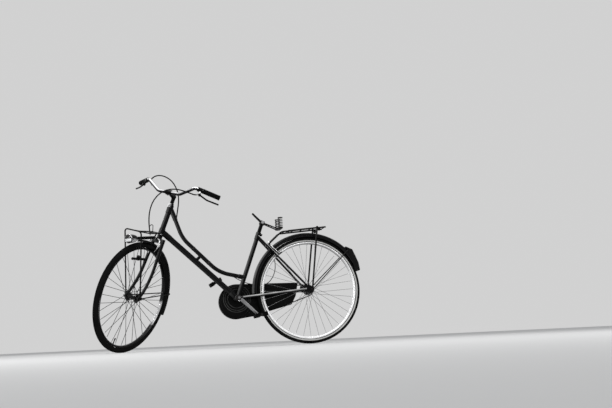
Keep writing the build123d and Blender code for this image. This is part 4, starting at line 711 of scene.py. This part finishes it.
def wheel(name, axle, body, plating, valve_angle, tyre, rim, nipples, valve):
    """Seats one wheel's tyre, rim, nipples and valve."""
    about, flat_on = Matrix.Translation(axle), along(axle, LEFT)
    tyre.name = f"{name}_tyre_treaded"
    fit(tyre, flat_on, body, None, f"{name}_tyre")
    rim.name = f"{name}_rim_rolled"
    fit(rim, flat_on, body, plating, f"{name}_rim")
    nipples.name = f"{name}_nipples"
    fit(nipples, about, body, bright_steel)
    valve.name = f"{name}_valve"
    way = around(radians(valve_angle))
    fit(valve, about @ along(way * 0.304, -way), body, grip_rubber)


def hub(name, axle, body, half, flange, barrel, dropout, fixed, elbow, nut):
    """Hub shell drawn in between its drilled flanges, the elbows and heads of its spokes,
    and the axle with its cones, washers and nuts."""
    side = [
        (0.0048, half), (barrel, half), (barrel, flange + 0.004), (barrel + 0.0016, flange + 0.002),
        (0.0274, flange + 0.0014), (0.028, flange + 0.0008), (0.028, flange - 0.0008),
        (0.0274, flange - 0.0014), (0.018, flange - 0.0018), (0.0152, flange - 0.0045),
        (0.0136, flange - 0.011), (0.0124, flange - 0.019), (0.012, 0.004),
    ]
    shell = lathe(f"{name}_hub_shell", ring_of(both_halves(side)), sharp=40.0)
    fit(shell, along(axle, LEFT), body, dark_steel, f"{name}_hub")

    seats = []
    for turned_to, lead, _, angle in spoke_pattern():
        start = turned_to * (flange + lead * (0.0016 + (0.0025 if lead > 0 else 0.0012)))
        spot = around(angle) * FLANGE_HOLE + LEFT * start
        seats.append(along(axle + spot, LEFT * (-turned_to * lead)))
    fit(copies(elbow, seats, f"{name}_spoke_heads"), DRAWN, body, spoke_zinc)

    face = dropout + 0.0025
    end = face + 0.018
    thread = 0.00475
    rod = [
        (0.0, end), (0.0038, end), (thread, end - 0.001), (thread, dropout - 0.0025),
        (0.0078, dropout - 0.0025), (0.008, dropout - 0.003), (0.008, half + 0.001),
        (0.0072, half + 0.0005), (thread, half + 0.0005),
    ]
    spindle = lathe(f"{name}_axle_rod", both_halves(rod), steps=24, sharp=40.0)
    carry(spindle, along(ORIGIN, LEFT))
    nuts = copies(nut, [along(*seat) for seat in both_sides(ORIGIN, face + 0.001)])
    whole = join([spindle, nuts], f"{name}_axle_and_nuts")
    fit(whole, Matrix.Translation(axle), fixed, dark_steel, f"{name}_axle")


def edge_bead(name, axle, body, radius, half, wire, deep, tail, nose):
    """The hem rolled along both skirts of a guard: its section is deep times as high as wide."""
    drop_all()
    bpy.ops.mesh.primitive_circle_add(
        vertices=8, radius=wire, fill_type="NGON", location=(radius, 0.0, 0.0),
        rotation=(pi / 2.0, 0.0, 0.0),
    )
    bead = bpy.context.object
    bpy.ops.object.transform_apply(location=True, rotation=True, scale=True)
    mode("EDIT")
    pick_all()
    bpy.ops.transform.resize(value=(deep, 1.0, 1.0), center_override=(radius, 0.0, 0.0))
    bpy.ops.transform.rotate(
        value=radians(tail), orient_axis="Z", center_override=ORIGIN,
    )
    bpy.ops.mesh.spin(
        steps=round((nose - tail) / 2.5), angle=radians(nose - tail),
        center=ORIGIN, axis=UP,
    )
    pick_all()
    bpy.ops.mesh.normals_make_consistent(inside=False)
    mode("OBJECT")
    smooth(50.0)
    hems = copies(bead, [Matrix.Translation((0.0, 0.0, side * half)) for side, _ in SIDES], name)
    fit(hems, along(axle, -LEFT, up=(-1.0, 0.0, 0.0)), body, enamel)


spoke_places, spoke_length = spoke_lines()
nipple = lathe(
    "nipple", [(0.0, 0.0), (0.0024, 0.0), (0.0021, 0.01), (0.0012, 0.012), (0.0, 0.012)], steps=8,
)
tyres, rims, valves = twins(tyre()), twins(rim()), twins(valve())
light_strip(tyres[1])
nipple_rows = twins(copies(nipple, spoke_places))
WHEELS = [
    # name, axle point, body, finish of the rim, angle of the valve
    ("front", FRONT_AXLE, "front_wheel", front_rim_painted_light, -65.0),
    ("rear", REAR_AXLE, "rear_wheel", rim_chrome, 5.0),
]
for row, *pieces in zip(WHEELS, tyres, rims, nipple_rows, valves):
    wheel(*row, *pieces)

front_spoke = tube("spoke", [ORIGIN, (0.0, 0.0, spoke_length)], 0.0015, sides=8)
front_spokes = copies(front_spoke, spoke_places, "front_spoke_wires")
fit(front_spokes, Matrix.Translation(FRONT_AXLE), "front_wheel", dark_zinc, "front_spokes")

HUBS = [
    # name, axle point, body, half length, flange distance, barrel radius,
    # dropout distance, body that holds the axle
    ("front", FRONT_AXLE, "front_wheel", 0.043, 0.033, 0.0105, 0.05, "steering"),
    ("rear", REAR_AXLE, "rear_wheel", 0.055, 0.03, 0.013, 0.0625, "frame"),
]
spoke_elbow = lathe(
    "spoke_elbow",
    [(0.0, 0.0), (0.0011, 0.0), (0.0011, 0.005), (0.002, 0.0052), (0.0018, 0.0064), (0.0, 0.0066)],
    steps=8,
)
axle_nut = hexagon("axle_nut", 0.00866, 0.009, 0.0105)
for row, elbow, nut in zip(HUBS, twins(spoke_elbow), twins(axle_nut)):
    hub(*row, elbow, nut)
edge_bead("rear_guard_edges", REAR_AXLE, "frame", 0.3549, 0.0212, 0.0016, 3.2, 19.0, 182.0)
edge_bead("front_guard_edges", FRONT_AXLE, "steering", 0.3492, 0.0206, 0.0013, 1.0, -25.0, 90.0)


# ---- Handlebar, grips and levers

BAR_LINE = [(0.824, 0.313, 1.021), (0.916, 0.181, 1.064), (0.934, 0.082, 1.006)]
GRIP_END, BAR_CORNER, BAR_SHOULDER = (Vector(corner) for corner in BAR_LINE)
GRIP_WAY = (GRIP_END - BAR_CORNER).normalized()
GRIP_LENGTH = 0.108
LEVER_FRONT = Vector((GRIP_WAY.y, -GRIP_WAY.x, 0.0)).normalized()
LEVER_DROP = (LEVER_FRONT * 0.65 - Vector(UP)).normalized()
CLAMP = GRIP_END - GRIP_WAY * (GRIP_LENGTH + 0.024)
PIVOT_DROP = 0.036
PIVOT = CLAMP + LEVER_DROP * PIVOT_DROP


def handlebar():
    right = [mirrored(corner, -1) for corner in reversed(BAR_LINE)]
    bends = [0.026, 0.04, 0.04, 0.026]
    bar = tube("swept_handlebar", BAR_LINE + right, 0.0111, bends, sides=32, arc=14)
    fit(bar, DRAWN, "steering", chrome, "handlebar")


def grips():
    """Rubber grips: a collar, a row of ribs under the fingers and a closed end."""
    outline = [
        (0.0113, -0.006), (0.0146, -0.006), (0.016, -0.005), (0.016, 0.0042), (0.0154, 0.0052),
        (0.0148, 0.006),
    ]
    for rib in range(17):
        foot = 0.007 + rib * 0.0054
        outline += [
            (0.0149, foot), (0.0158, foot + 0.0008), (0.0158, foot + 0.0038),
            (0.0149, foot + 0.0046),
        ]
    outline += [
        (0.015, 0.1), (0.016, 0.101), (0.0162, 0.1075), (0.015, 0.11), (0.01, 0.111), (0.0, 0.111),
        (0.0, 0.1085), (0.0113, 0.1085),
    ]
    root = GRIP_END - GRIP_WAY * GRIP_LENGTH
    grip = lathe("ribbed_grip", ring_of(outline), steps=32)
    for (side, name), piece in zip(SIDES, twins(grip)):
        piece.name = f"ribbed_grip_{name}"
        seat = along(mirrored(root, side), mirrored(GRIP_WAY, side))
        fit(piece, seat, "steering", grip_rubber, "grips")


def levers():
    """Lever blades with a ball at the tip and a barrel on the pivot."""
    bend = PIVOT + GRIP_WAY * 0.05 + LEVER_DROP * 0.016
    tip = GRIP_END - GRIP_WAY * 0.006 + LEVER_DROP * 0.05
    ball_model = lathe("ball", [
        (0.0, -0.006), (0.0034, -0.005), (0.0055, -0.0022), (0.0058, 0.0), (0.005, 0.003),
        (0.0028, 0.0052), (0.0, 0.006),
    ], steps=16, sharp=80.0)
    barrel_model = lathe("barrel", [
        (0.0, -0.01), (0.0062, -0.01), (0.0068, -0.009), (0.0068, 0.009), (0.0062, 0.01),
        (0.0, 0.01),
    ], steps=20)
    for (side, name), ball, barrel in zip(SIDES, twins(ball_model), twins(barrel_model)):
        path = [mirrored(corner, side) for corner in (PIVOT, bend, tip)]
        blade = tube("blade", path, 0.0052, [0.06])
        carry(ball, along(path[2], path[2] - path[1]))
        across = mirrored(GRIP_WAY, side).cross(mirrored(LEVER_DROP, side))
        carry(barrel, along(path[0], across))
        lever = join([blade, ball, barrel], f"lever_blade_{name}")
        fit(lever, DRAWN, "steering", old_enamel, "brake_levers")


def lever_clamps():
    """The arm of each lever's clamp, the left one polished, and the clamp's screw."""
    arm_model = lathe("lever_arm", [
        (0.0, 0.0145), (0.0072, 0.0145), (0.0076, 0.016), (0.0068, 0.0185), (0.0068, 0.027),
        (0.0074, 0.0285), (0.0, 0.0285),
    ], steps=20)
    arms, screws = twins(arm_model), twins(hexagon("lever_clamp_screw", 0.0042, 0.004))
    for (side, name), arm, screw in zip(SIDES, arms, screws):
        down = mirrored(LEVER_DROP, side)
        clamp = mirrored(CLAMP, side)
        arm.name = f"lever_arm_{name}"
        fit(arm, along(clamp, down), "steering", brake_alloy if side > 0 else old_enamel)
        screw.name = f"lever_clamp_screw_{name}"
        fit(screw, along(clamp - down * 0.0148, -down), "steering", bright_steel)


handlebar()
grips()
levers()
lever_clamps()


# ---- Headlamp

LAMP_BACK = Vector((1.196, 0.0, 0.717))


def headlamp():
    """Bullet shell with a hollow reflector, its bright ring, a fluted domed glass and a bulb."""
    seat = along(LAMP_BACK, (1.0, 0.0, 0.0))
    outside = [
        # radius, distance ahead of the lamp's back
        (0.0, 0.0), (0.0052, 0.0), (0.008, 0.0014), (0.0108, 0.0046), (0.0142, 0.009),
        (0.0178, 0.015), (0.0212, 0.024), (0.0238, 0.035), (0.0254, 0.047), (0.026, 0.06),
        (0.026, 0.0765),
    ]
    inside = [
        (0.0246, 0.0765), (0.0236, 0.074), (0.0205, 0.068), (0.015, 0.0615), (0.008, 0.0575),
        (0.0, 0.0562),
    ]
    shell = lathe("headlamp_shell", outside + inside, sharp=50.0)
    fit(shell, seat, "steering", lamp_chrome, "headlamp")
    ring = [
        (0.0242, 0.076), (0.0268, 0.0758), (0.0277, 0.0768), (0.028, 0.0785), (0.028, 0.0815),
        (0.0275, 0.0832), (0.0262, 0.084), (0.0246, 0.0836), (0.024, 0.082),
    ]
    fit(lathe("headlamp_ring", ring_of(ring), sharp=60.0), seat, "steering", chrome)
    dished = [
        (0.0, 0.0812), (0.024, 0.0812), (0.024, 0.0838), (0.0222, 0.0853), (0.018, 0.0872),
        (0.012, 0.0887), (0.006, 0.0895), (0.0, 0.0898),
    ]
    lens = lathe("headlamp_fluted_glass", dished, sharp=50.0)
    fit(lens, seat, "steering", glass, "headlamp_glass")
    pear = [(0.0, 0.0565), (0.0035, 0.057), (0.0042, 0.061), (0.0036, 0.064), (0.0, 0.0655)]
    fit(lathe("headlamp_bulb", pear, steps=16, sharp=60.0), seat, "steering", glass)


headlamp()


# ---- Nuts, bolts and screws

SEAT_ANGLE = radians(70.2)
SEAT_UP = Vector((-cos(SEAT_ANGLE), 0.0, sin(SEAT_ANGLE)))
SEAT_BACK = Vector((-SEAT_UP.z, 0.0, SEAT_UP.x))
LUG_BOLT = BRACKET + SEAT_UP * 0.441 + SEAT_BACK * 0.02
BRAKE_PIVOT = HEAD_FOOT - HEAD_UP * 0.038 + HEAD_FRONT * 0.034
BRAKE_OUT = (BRAKE_PIVOT - FRONT_AXLE).normalized()
BRAKE_FACE = LEFT.cross(BRAKE_OUT)
CRANK_WAY = around(radians(43.0))
CRANK_SIDE = CRANK_WAY.cross(LEFT)
CRANK_LENGTH = 0.17
CRANKS = [
    # side, name, distance from the middle plane, forwards or back at rest
    (1, "left", 0.07, -1),
    (-1, "right", -0.082, 1),
]
# eyelets on the dropouts, from the axle: for the guard's stays and for the carriers
REAR_STAY_EYE, REAR_LEG_EYE = Vector((-0.014, 0.0, 0.003)), Vector((-0.009, 0.0, 0.014))
FRONT_STAY_EYE, FRONT_HOOP_EYE = Vector((-0.012, 0.0, 0.002)), Vector((-0.0022, 0.0, 0.0143))
# where the stays meet the guards: angle behind the axle, and radius
REAR_STAY_TIP, FRONT_STAY_TIP = (43.0, 0.369), (-2.0, 0.356)
CASE_SCREWS = ((0.392, 0.372), (0.18, 0.385), (0.15, 0.268), (0.395, 0.215), (0.56, 0.345))


def cotter_seat(y, way):
    return BRACKET + LEFT * y + CRANK_WAY * (way * 0.0126)


def pedal_caps():
    """The cap that closes each pedal's outer bearing."""
    outline = [
        (0.0, -0.0004), (0.0078, -0.0004), (0.0082, 0.0006), (0.0078, 0.0034), (0.005, 0.0048),
        (0.0, 0.0052),
    ]
    caps = twins(lathe("pedal_cap", outline, steps=20, sharp=50.0))
    for (side, name, y, way), cap in zip(CRANKS, caps):
        cap.name = f"pedal_cap_{name}"
        eye = BRACKET + CRANK_WAY * (way * CRANK_LENGTH) + LEFT * (y + side * 0.106)
        fit(cap, along(eye, LEFT * side), f"pedal_{name}", dark_steel)


fastenings(
    "saddle_clamp_nuts", hexagon("nut", 0.0085, 0.0065, 0.01), both_sides(SADDLE, 0.03),
    "frame", bright_steel,
)
fastenings(
    "seat_lug_nuts", hexagon("nut", 0.0062, 0.005), both_sides(LUG_BOLT, 0.0135),
    "frame", dark_steel,
)
eye_bolt, other_eye_bolt = twins(hexagon("bolt", 0.0048, 0.0034, 0.0056))
fastenings(
    "rear_eye_bolts", eye_bolt,
    both_sides(REAR_AXLE + REAR_STAY_EYE, 0.0716) + both_sides(REAR_AXLE + REAR_LEG_EYE, 0.0743),
    "frame", dark_steel,
)
fastenings(
    "front_eye_bolts", other_eye_bolt,
    both_sides(FRONT_AXLE + FRONT_STAY_EYE, 0.0591)
    + both_sides(FRONT_AXLE + FRONT_HOOP_EYE, 0.0608),
    "steering", dark_steel,
)
fastenings(
    "rear_guard_screws", dome("screw", 0.0048, 0.0026),
    both_sides(REAR_AXLE + outward(*REAR_STAY_TIP), 0.0274), "frame", dark_steel,
)
fastenings(
    "front_guard_screws", dome("screw", 0.0044, 0.0024),
    both_sides(FRONT_AXLE + outward(*FRONT_STAY_TIP), 0.0254), "steering", dark_steel,
)
fastenings(
    "front_brake_nut", hexagon("nut", 0.0078, 0.0046, 0.0092),
    [(BRAKE_PIVOT + BRAKE_FACE * 0.0102, BRAKE_FACE)], "steering", bright_steel,
)
fastenings(
    "cotter_nuts", hexagon("nut", 0.0062, 0.005, 0.0072),
    [(cotter_seat(y, way) - CRANK_SIDE * 0.013, -CRANK_SIDE) for _, _, y, way in CRANKS],
    "crankset", bright_steel,
)
fastenings(
    "case_screws", dome("screw", 0.0046, 0.0024),
    [(Vector((x, -0.036, z)), LEFT) for x, z in CASE_SCREWS]
    + [(Vector((x, -0.069, z)), -LEFT) for x, z in CASE_SCREWS],
    "frame", old_enamel,
)
lockring = lathe("bracket_lockring", ring_of([
    (0.009, 0.0), (0.02, 0.0), (0.02, 0.0035), (0.018, 0.0045), (0.015, 0.0048), (0.014, 0.0062),
    (0.009, 0.0062),
]), steps=16, sharp=30.0)
fit(lockring, along(BRACKET + LEFT * 0.034, LEFT), "frame", dark_steel)
pedal_caps()


# ---- Cranks, frame tubes and chain case

DOWN_ROOT = HEAD_FOOT + HEAD_UP * 0.024


def crank_arm():
    """A bar that narrows to its eye, lying from the axle along its own x."""
    arm = beam(0.144, 0.023, 0.0112)
    bpy.ops.transform.translate(value=(0.087, 0.0, 0.0))
    mode("OBJECT")
    select_near(arm, [vertex.co.copy() for vertex in arm.data.vertices if vertex.co.x > 0.1])
    mode("EDIT")
    bpy.ops.transform.resize(value=(1.0, 0.72, 0.9), center_override=(0.159, 0.0, 0.0))
    bpy.ops.mesh.select_mode(type="EDGE")
    pick_all()
    bpy.ops.mesh.bevel(offset=0.0036, segments=4, affect="EDGES")
    mode("OBJECT")
    smooth(40.0)
    return arm


def crank_bosses():
    """The turned bosses at the axle and at the pedal's pin."""
    bosses = []
    for x, bore, outer in ((0.0, 0.0085, 0.017), (CRANK_LENGTH, 0.006, 0.012)):
        half = [
            (bore, -0.006), (outer - 0.0024, -0.006), (outer - 0.0006, -0.0052), (outer, -0.0036),
        ]
        boss = lathe("boss", ring_of(both_halves(half)), steps=36, sharp=50.0)
        bosses.append(carry(boss, Matrix.Translation((x, 0.0, 0.0))))
    return join(bosses)


def cranks():
    """Each crank's arm and bosses, with its cotter."""
    arms, bosses = twins(crank_arm()), twins(crank_bosses())
    for (_, name, y, way), arm, turned in zip(CRANKS, arms, bosses):
        lie = along(BRACKET + LEFT * y, LEFT, up=CRANK_WAY * way)
        fit(arm, lie, "crankset", crank_steel, "cranks")
        arm.name = f"crank_arm_{name}"
        seat = cotter_seat(y, way)
        pin = tube("pin", [seat - CRANK_SIDE * 0.022, seat + CRANK_SIDE * 0.022], 0.0038)
        whole = join([carry(turned, lie), pin], f"crank_bosses_{name}")
        fit(whole, DRAWN, "crankset", dark_steel, "cranks")


def down_tube():
    """The main tube with the sockets of its lugs, a little lower than the drawn one."""
    way = (DOWN_ROOT - BRACKET).normalized()
    sag = LEFT.cross(way) * 0.0022
    start, end = BRACKET + way * 0.0195 + sag, DOWN_ROOT - way * 0.0165 + sag
    parts = [tube("bar", [start, end], 0.0182, sides=32)]
    for spot, direction, long in ((start, way, 0.04), (end, -way, 0.058)):
        outline = [
            (0.0, 0.0), (0.0194, 0.0), (0.0194, long - 0.003), (0.0186, long), (0.0, long),
        ]
        parts.append(carry(lathe("socket", outline, steps=40), along(spot, direction)))
    fit(join(parts, "lugged_down_tube"), DRAWN, "frame", enamel, "down_tube")


def strut_collar():
    """Collar round the short strut between the two tubes."""
    foot, head = Vector((0.74, 0.0, 0.556)), Vector((0.709, 0.0, 0.589))
    long = (head - foot).length
    outline = [
        (0.0, 0.0), (0.012, 0.0), (0.0112, 0.003), (0.0098, 0.006), (0.0098, long - 0.006),
        (0.0112, long - 0.003), (0.012, long), (0.0, long),
    ]
    collar = lathe("strut_collar", outline, steps=28)
    fit(collar, along(foot, head - foot), "frame", old_enamel)


def case_rings():
    """Pressed rings on the chain case, round the crank."""
    rings = []
    for radius in (0.058, 0.074, 0.086):
        outline = [
            (radius, -0.0006), (radius + 0.0016, 0.0004), (radius + 0.0024, 0.0004),
            (radius + 0.004, -0.0006),
        ]
        rings.append(lathe("ring", ring_of(outline), steps=72, sharp=20.0))
    pressed = join(rings, "chain_case_pressed_rings")
    fit(pressed, along(BRACKET + LEFT * -0.0344, LEFT), "frame", case_grey)


cranks()
down_tube()
strut_collar()
case_rings()


# ---- Stem, carriers, stays and the clip on the blade

STEM_FOOT = HEAD_FOOT + HEAD_UP * 0.2123
STEM_TURN = HEAD_FOOT + HEAD_UP * 0.2543
BAR_MIDDLE = Vector((BAR_SHOULDER.x, 0.0, BAR_SHOULDER.z))


def stem():
    """The quill with its horn and wedge bolt, the arm, and the clamp with its screw."""
    under = (STEM_TURN - BAR_MIDDLE).normalized().cross(LEFT)
    horn = lathe("horn", [
        (0.0, 0.0), (0.0122, 0.0), (0.0126, 0.04), (0.014, 0.044), (0.0146, 0.05), (0.014, 0.0545),
        (0.01, 0.057), (0.0, 0.057),
    ], steps=28)
    clamp = lathe("clamp", ring_of([
        (0.0112, -0.02), (0.0156, -0.02), (0.0166, -0.019), (0.017, 0.0), (0.0166, 0.019),
        (0.0156, 0.02), (0.0112, 0.02),
    ]), steps=36)
    wedge = hexagon("wedge_bolt", 0.0076, 0.006, 0.0096)
    screw = hexagon("clamp_screw", 0.0052, 0.0045, 0.0066)
    parts = [
        tube("arm", [STEM_FOOT, STEM_TURN, BAR_MIDDLE], 0.0122, [0.018], sides=24),
        carry(horn, along(STEM_FOOT, HEAD_UP)),
        carry(wedge, along(STEM_FOOT + HEAD_UP * 0.0578, HEAD_UP)),
        carry(clamp, along(BAR_MIDDLE, LEFT)),
        carry(screw, along(BAR_MIDDLE + under * 0.0165, under)),
    ]
    fit(join(parts, "forged_stem"), DRAWN, "steering", dark_chrome, "stem")


def deck(x):
    """Height of the rear carrier's rails over a place along the bicycle."""
    return 0.762 - 0.029 * (x + 0.12) / 0.302


def rear_carrier():
    """Two bent rails, closed at their tails, and the wires welded across them."""
    parts = []
    rails = zip(
        both((0.27, 0.0445, 0.652)), both((0.182, 0.054, 0.733)), both((-0.1195, 0.054, 0.762)),
    )
    ends = both((-0.119, 0.054, 0.762))
    for rail, end, cap in zip(rails, ends, twins(dome("cap", 0.0053, 0.0022))):
        parts.append(tube("rail", rail, 0.0052, [0.04]))
        parts.append(carry(cap, along(end, rail[2] - rail[1])))
    wire = tube("wire", [(0.0, -0.054, 0.0), (0.0, 0.054, 0.0)], 0.003, sides=12)
    places = (0.16, 0.13, 0.1, 0.04, -0.02, -0.08, -0.117)
    parts.append(copies(wire, [Matrix.Translation((x, 0.0, deck(x))) for x in places]))
    fit(join(parts, "rear_carrier_rails"), DRAWN, "frame", old_enamel, "rear_carrier")


def carrier_legs():
    """A leg each side, flattened round its bolts at the rail and at the axle."""
    tops = both((-0.06, 0.062, deck(-0.06) + 0.004))
    feet = both((-0.009, 0.0693, 0.364))
    parts = [tube("leg", ends, 0.0058) for ends in zip(tops, feet)]
    parts.append(across(flat("flat", 0.0076, 0.0032), tops + feet))
    bolt = hexagon("bolt", 0.0052, 0.004, 0.0066)
    seats = [(top + LEFT * side * 0.004, LEFT * side) for top, (side, _) in zip(tops, SIDES)]
    parts.append(copies(bolt, [along(*seat) for seat in seats]))
    lug = lathe("lug", [
        (0.0, -0.005), (0.0088, -0.005), (0.0094, -0.004), (0.0094, 0.004), (0.0088, 0.005),
        (0.0, 0.005),
    ], steps=24)
    parts.append(across(lug, both((-0.0735, 0.06, deck(-0.0735) - 0.012))))
    fit(join(parts, "carrier_leg_tubes"), DRAWN, "frame", old_enamel, "carrier_legs")


def front_carrier():
    """The hoop over the wheel, the rails and cross wires behind it, the tab on the brake's
    bolt and the strip that carries the lamp."""
    feet = both(FRONT_AXLE + FRONT_HOOP_EYE + LEFT * 0.0563)
    hoop = [feet[0], (1.244, 0.062, 0.77), (1.244, -0.062, 0.77), feet[1]]
    parts = [tube("hoop", hoop, 0.0045, [0.02, 0.02])]
    parts.append(across(flat("eye", 0.0078, 0.0034), feet))
    rails = both((1.244, 0.04, 0.769)), both((1.128, 0.04, 0.752)), both((1.0, 0.034, 0.746))
    parts += [tube("rail", rail, 0.004, [0.06], sides=12) for rail in zip(*rails)]
    for x, y, z in ((1.0, 0.034, 0.746), (1.06, 0.037, 0.749), (1.128, 0.04, 0.752)):
        parts.append(tube("wire", [(x, -y, z), (x, y, z)], 0.0032, sides=12))
    bolt = BRAKE_PIVOT + BRAKE_FACE * 0.0188
    parts.append(tube("tab", [(1.0, 0.0, 0.746), bolt], 0.0042, sides=12))
    parts.append(carry(flat("washer", 0.009, 0.003), along(bolt, BRAKE_FACE)))
    arm_way = LAMP_BACK - bolt
    arm = beam(0.005, 0.019, arm_way.length)
    bpy.ops.mesh.select_mode(type="EDGE")
    bpy.ops.mesh.bevel(offset=0.0009, segments=2, affect="EDGES")
    mode("OBJECT")
    parts.append(carry(arm, along(bolt + arm_way * 0.5, arm_way, up=LEFT)))
    fit(join(parts, "front_carrier_hoop"), DRAWN, "steering", old_enamel, "front_carrier")


def guard_stays(name, axle, body, eyelet, step, tip, half):
    """A wire each side, flattened at its foot round the bolt and at its tip on the guard."""
    feet = both(axle + eyelet + LEFT * step)
    tips = both(axle + outward(*tip) + LEFT * half)
    parts = [tube("wire", ends, 0.0034, sides=12) for ends in zip(feet, tips)]
    parts.append(across(flat("eye", 0.0062, 0.0021), feet))
    parts.append(across(flat("pad", 0.006, 0.0018), tips))
    whole = join(parts, f"{name}_guard_stay_wires")
    fit(whole, DRAWN, body, old_enamel, f"{name}_guard_stays")


def blade_clip():
    """Clip on the right fork blade: its arm with a round end, the boss and a screw."""
    start, end = Vector((1.026, -0.044, 0.566)), Vector((1.15, -0.047, 0.578))
    boss = lathe("boss", [
        (0.0, -0.004), (0.012, -0.004), (0.0125, 0.0), (0.0125, 0.012), (0.01, 0.021),
        (0.008, 0.025), (0.0, 0.026),
    ], steps=24)
    parts = [
        tube("arm", [start, end], 0.008),
        carry(boss, along((1.09, -0.046, 0.57), (0.006, 0.0, 0.02))),
        carry(dome("tip", 0.0092, 0.0055), along(end, end - start)),
        carry(hexagon("screw", 0.006, 0.005, 0.0076), along((1.066, -0.0385, 0.57), LEFT)),
    ]
    fit(join(parts, "blade_clip_and_boss"), DRAWN, "steering", old_enamel, "blade_clip")


stem()
rear_carrier()
carrier_legs()
front_carrier()
guard_stays("rear", REAR_AXLE, "frame", REAR_STAY_EYE, 0.0683, REAR_STAY_TIP, 0.0253)
guard_stays("front", FRONT_AXLE, "steering", FRONT_STAY_EYE, 0.0558, FRONT_STAY_TIP, 0.0233)
blade_clip()


# ---- Rear lamp

LAMP_TOP = REAR_AXLE + outward(40.6, 0.4028)
LAMP_FOOT = REAR_AXLE + outward(26.8, 0.3855)
LAMP_FACE = (LAMP_FOOT - LAMP_TOP).normalized()
LAMP_OUT = Vector((LAMP_FACE.z, 0.0, -LAMP_FACE.x))
bezel = lathe("rear_lamp_bezel", ring_of([
    (0.0186, -0.0004), (0.0214, -0.0004), (0.0218, 0.0004), (0.021, 0.0022), (0.0194, 0.0026),
    (0.0186, 0.0014),
]), steps=40, sharp=50.0)
fit(bezel, along(LAMP_TOP + LAMP_FACE * 0.048, LAMP_OUT), "frame", lamp_plastic)


# ---- Cables

CABLE_RADIUS = 0.004
LEVER_STOP = Vector((0.879, -0.185, 1.03))
LEVER_ARM = CLAMP + LEVER_DROP * (PIVOT_DROP - 0.0065)
ANCHOR = BRAKE_PIVOT + BRAKE_OUT * 0.012 - LEFT * 0.046 + BRAKE_FACE * 0.0045
LOOP = [
    # the free loop of the rear brake's cable, from the right lever to its clip on the frame
    (1.016, -0.074, 1.104), (1.0, -0.064, 1.121), (0.975, -0.054, 1.131), (0.942, -0.044, 1.128),
    (0.908, -0.036, 1.112), (0.878, -0.031, 1.085), (0.855, -0.026, 1.045), (0.842, -0.022, 1.0),
    (0.84, -0.019, 0.948), (0.848, -0.016, 0.895), (0.857, -0.013, 0.838),
]
FRONT_CABLE = [
    # from the arm of the left lever to the anchor of the front brake, steering straight
    (0.911, 0.186, 1.019), (0.925, 0.161, 1.025), (0.94, 0.134, 1.031), (0.955, 0.105, 1.037),
    (0.97, 0.066, 1.038), (0.99, 0.022, 1.026), (1.008, -0.012, 1.0), (1.024, -0.042, 0.953),
    (1.031, -0.057, 0.89), (1.028, -0.058, 0.83), (1.02, -0.052, 0.775),
]


def cable(name, corners):
    """A cable's housing, with the widest bends that its points leave room for."""
    return tube(name, corners, CABLE_RADIUS, [None] * len(corners), sides=12)


def tie_wire(root):
    """The wire that ties the cable to the carrier's corner, arched above the rail."""
    rise, crest = Vector((-0.006, 0.01, 0.016)), Vector((-0.016, 0.016, 0.013))
    corners = [root, root + rise, root + crest, (1.0, -0.034, 0.747)]
    wire = tube("cable_tie_wire", corners, 0.0024, [0.006, 0.006], sides=8)
    fit(wire, DRAWN, "steering", housing)


def ferrules(seats):
    """Metal sleeves where a cable's housing stops, with the screw that sets its length."""
    sleeve = lathe("sleeve", [
        (0.0, -0.007), (0.003, -0.007), (0.0038, -0.006), (0.004, 0.004), (0.005, 0.0044),
        (0.005, 0.008), (0.0038, 0.0084), (0.0034, 0.013), (0.0, 0.013),
    ], steps=16)
    fastenings("steering_cable_ferrules", sleeve, seats, "steering", bright_steel)


def cable_bands():
    """The bands that hold the rear cable to the frame's bent tube."""
    knee, heel = Vector((0.822, 0.0, 0.706)), Vector((0.593, 0.0, 0.481))
    outline = [
        (0.0131, -0.0045), (0.014, -0.0045), (0.0144, 0.0), (0.014, 0.0045), (0.0131, 0.0045),
    ]
    band = lathe("cable_band", ring_of(outline), steps=32)
    seats = [(knee.lerp(heel, share), heel - knee) for share in (0.3, 0.72)]
    fastenings("cable_bands_on_the_tube", band, seats, "frame", dark_steel)


loop_corners = [TURNED @ LEVER_STOP] + [SEATED @ Vector(corner) for corner in LOOP]
loop = cable("rear_brake_cable_free_loop", loop_corners)
loop.data.materials.clear()
loop.data.materials.append(housing)
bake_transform(loop)
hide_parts("rear_brake_cable_loop")

front_corners = [Vector(corner) for corner in FRONT_CABLE]
top_way = (front_corners[0] - LEVER_ARM).normalized()
foot_way = (front_corners[-1] - ANCHOR).normalized()
cable_top, cable_foot = LEVER_ARM + top_way * 0.0068, ANCHOR + foot_way * 0.0055
front_cable = cable("front_brake_cable_housing", [cable_top, *front_corners, cable_foot])
fit(front_cable, DRAWN, "steering", housing, "front_brake_cable")

stop_way = (TURNED.inverted() @ loop_corners[1] - LEVER_STOP).normalized()
ferrules([
    (cable_top + top_way * 0.006, top_way), (cable_foot, foot_way), (LEVER_STOP, stop_way),
])
tie_wire(front_corners[-1])
cable_bands()
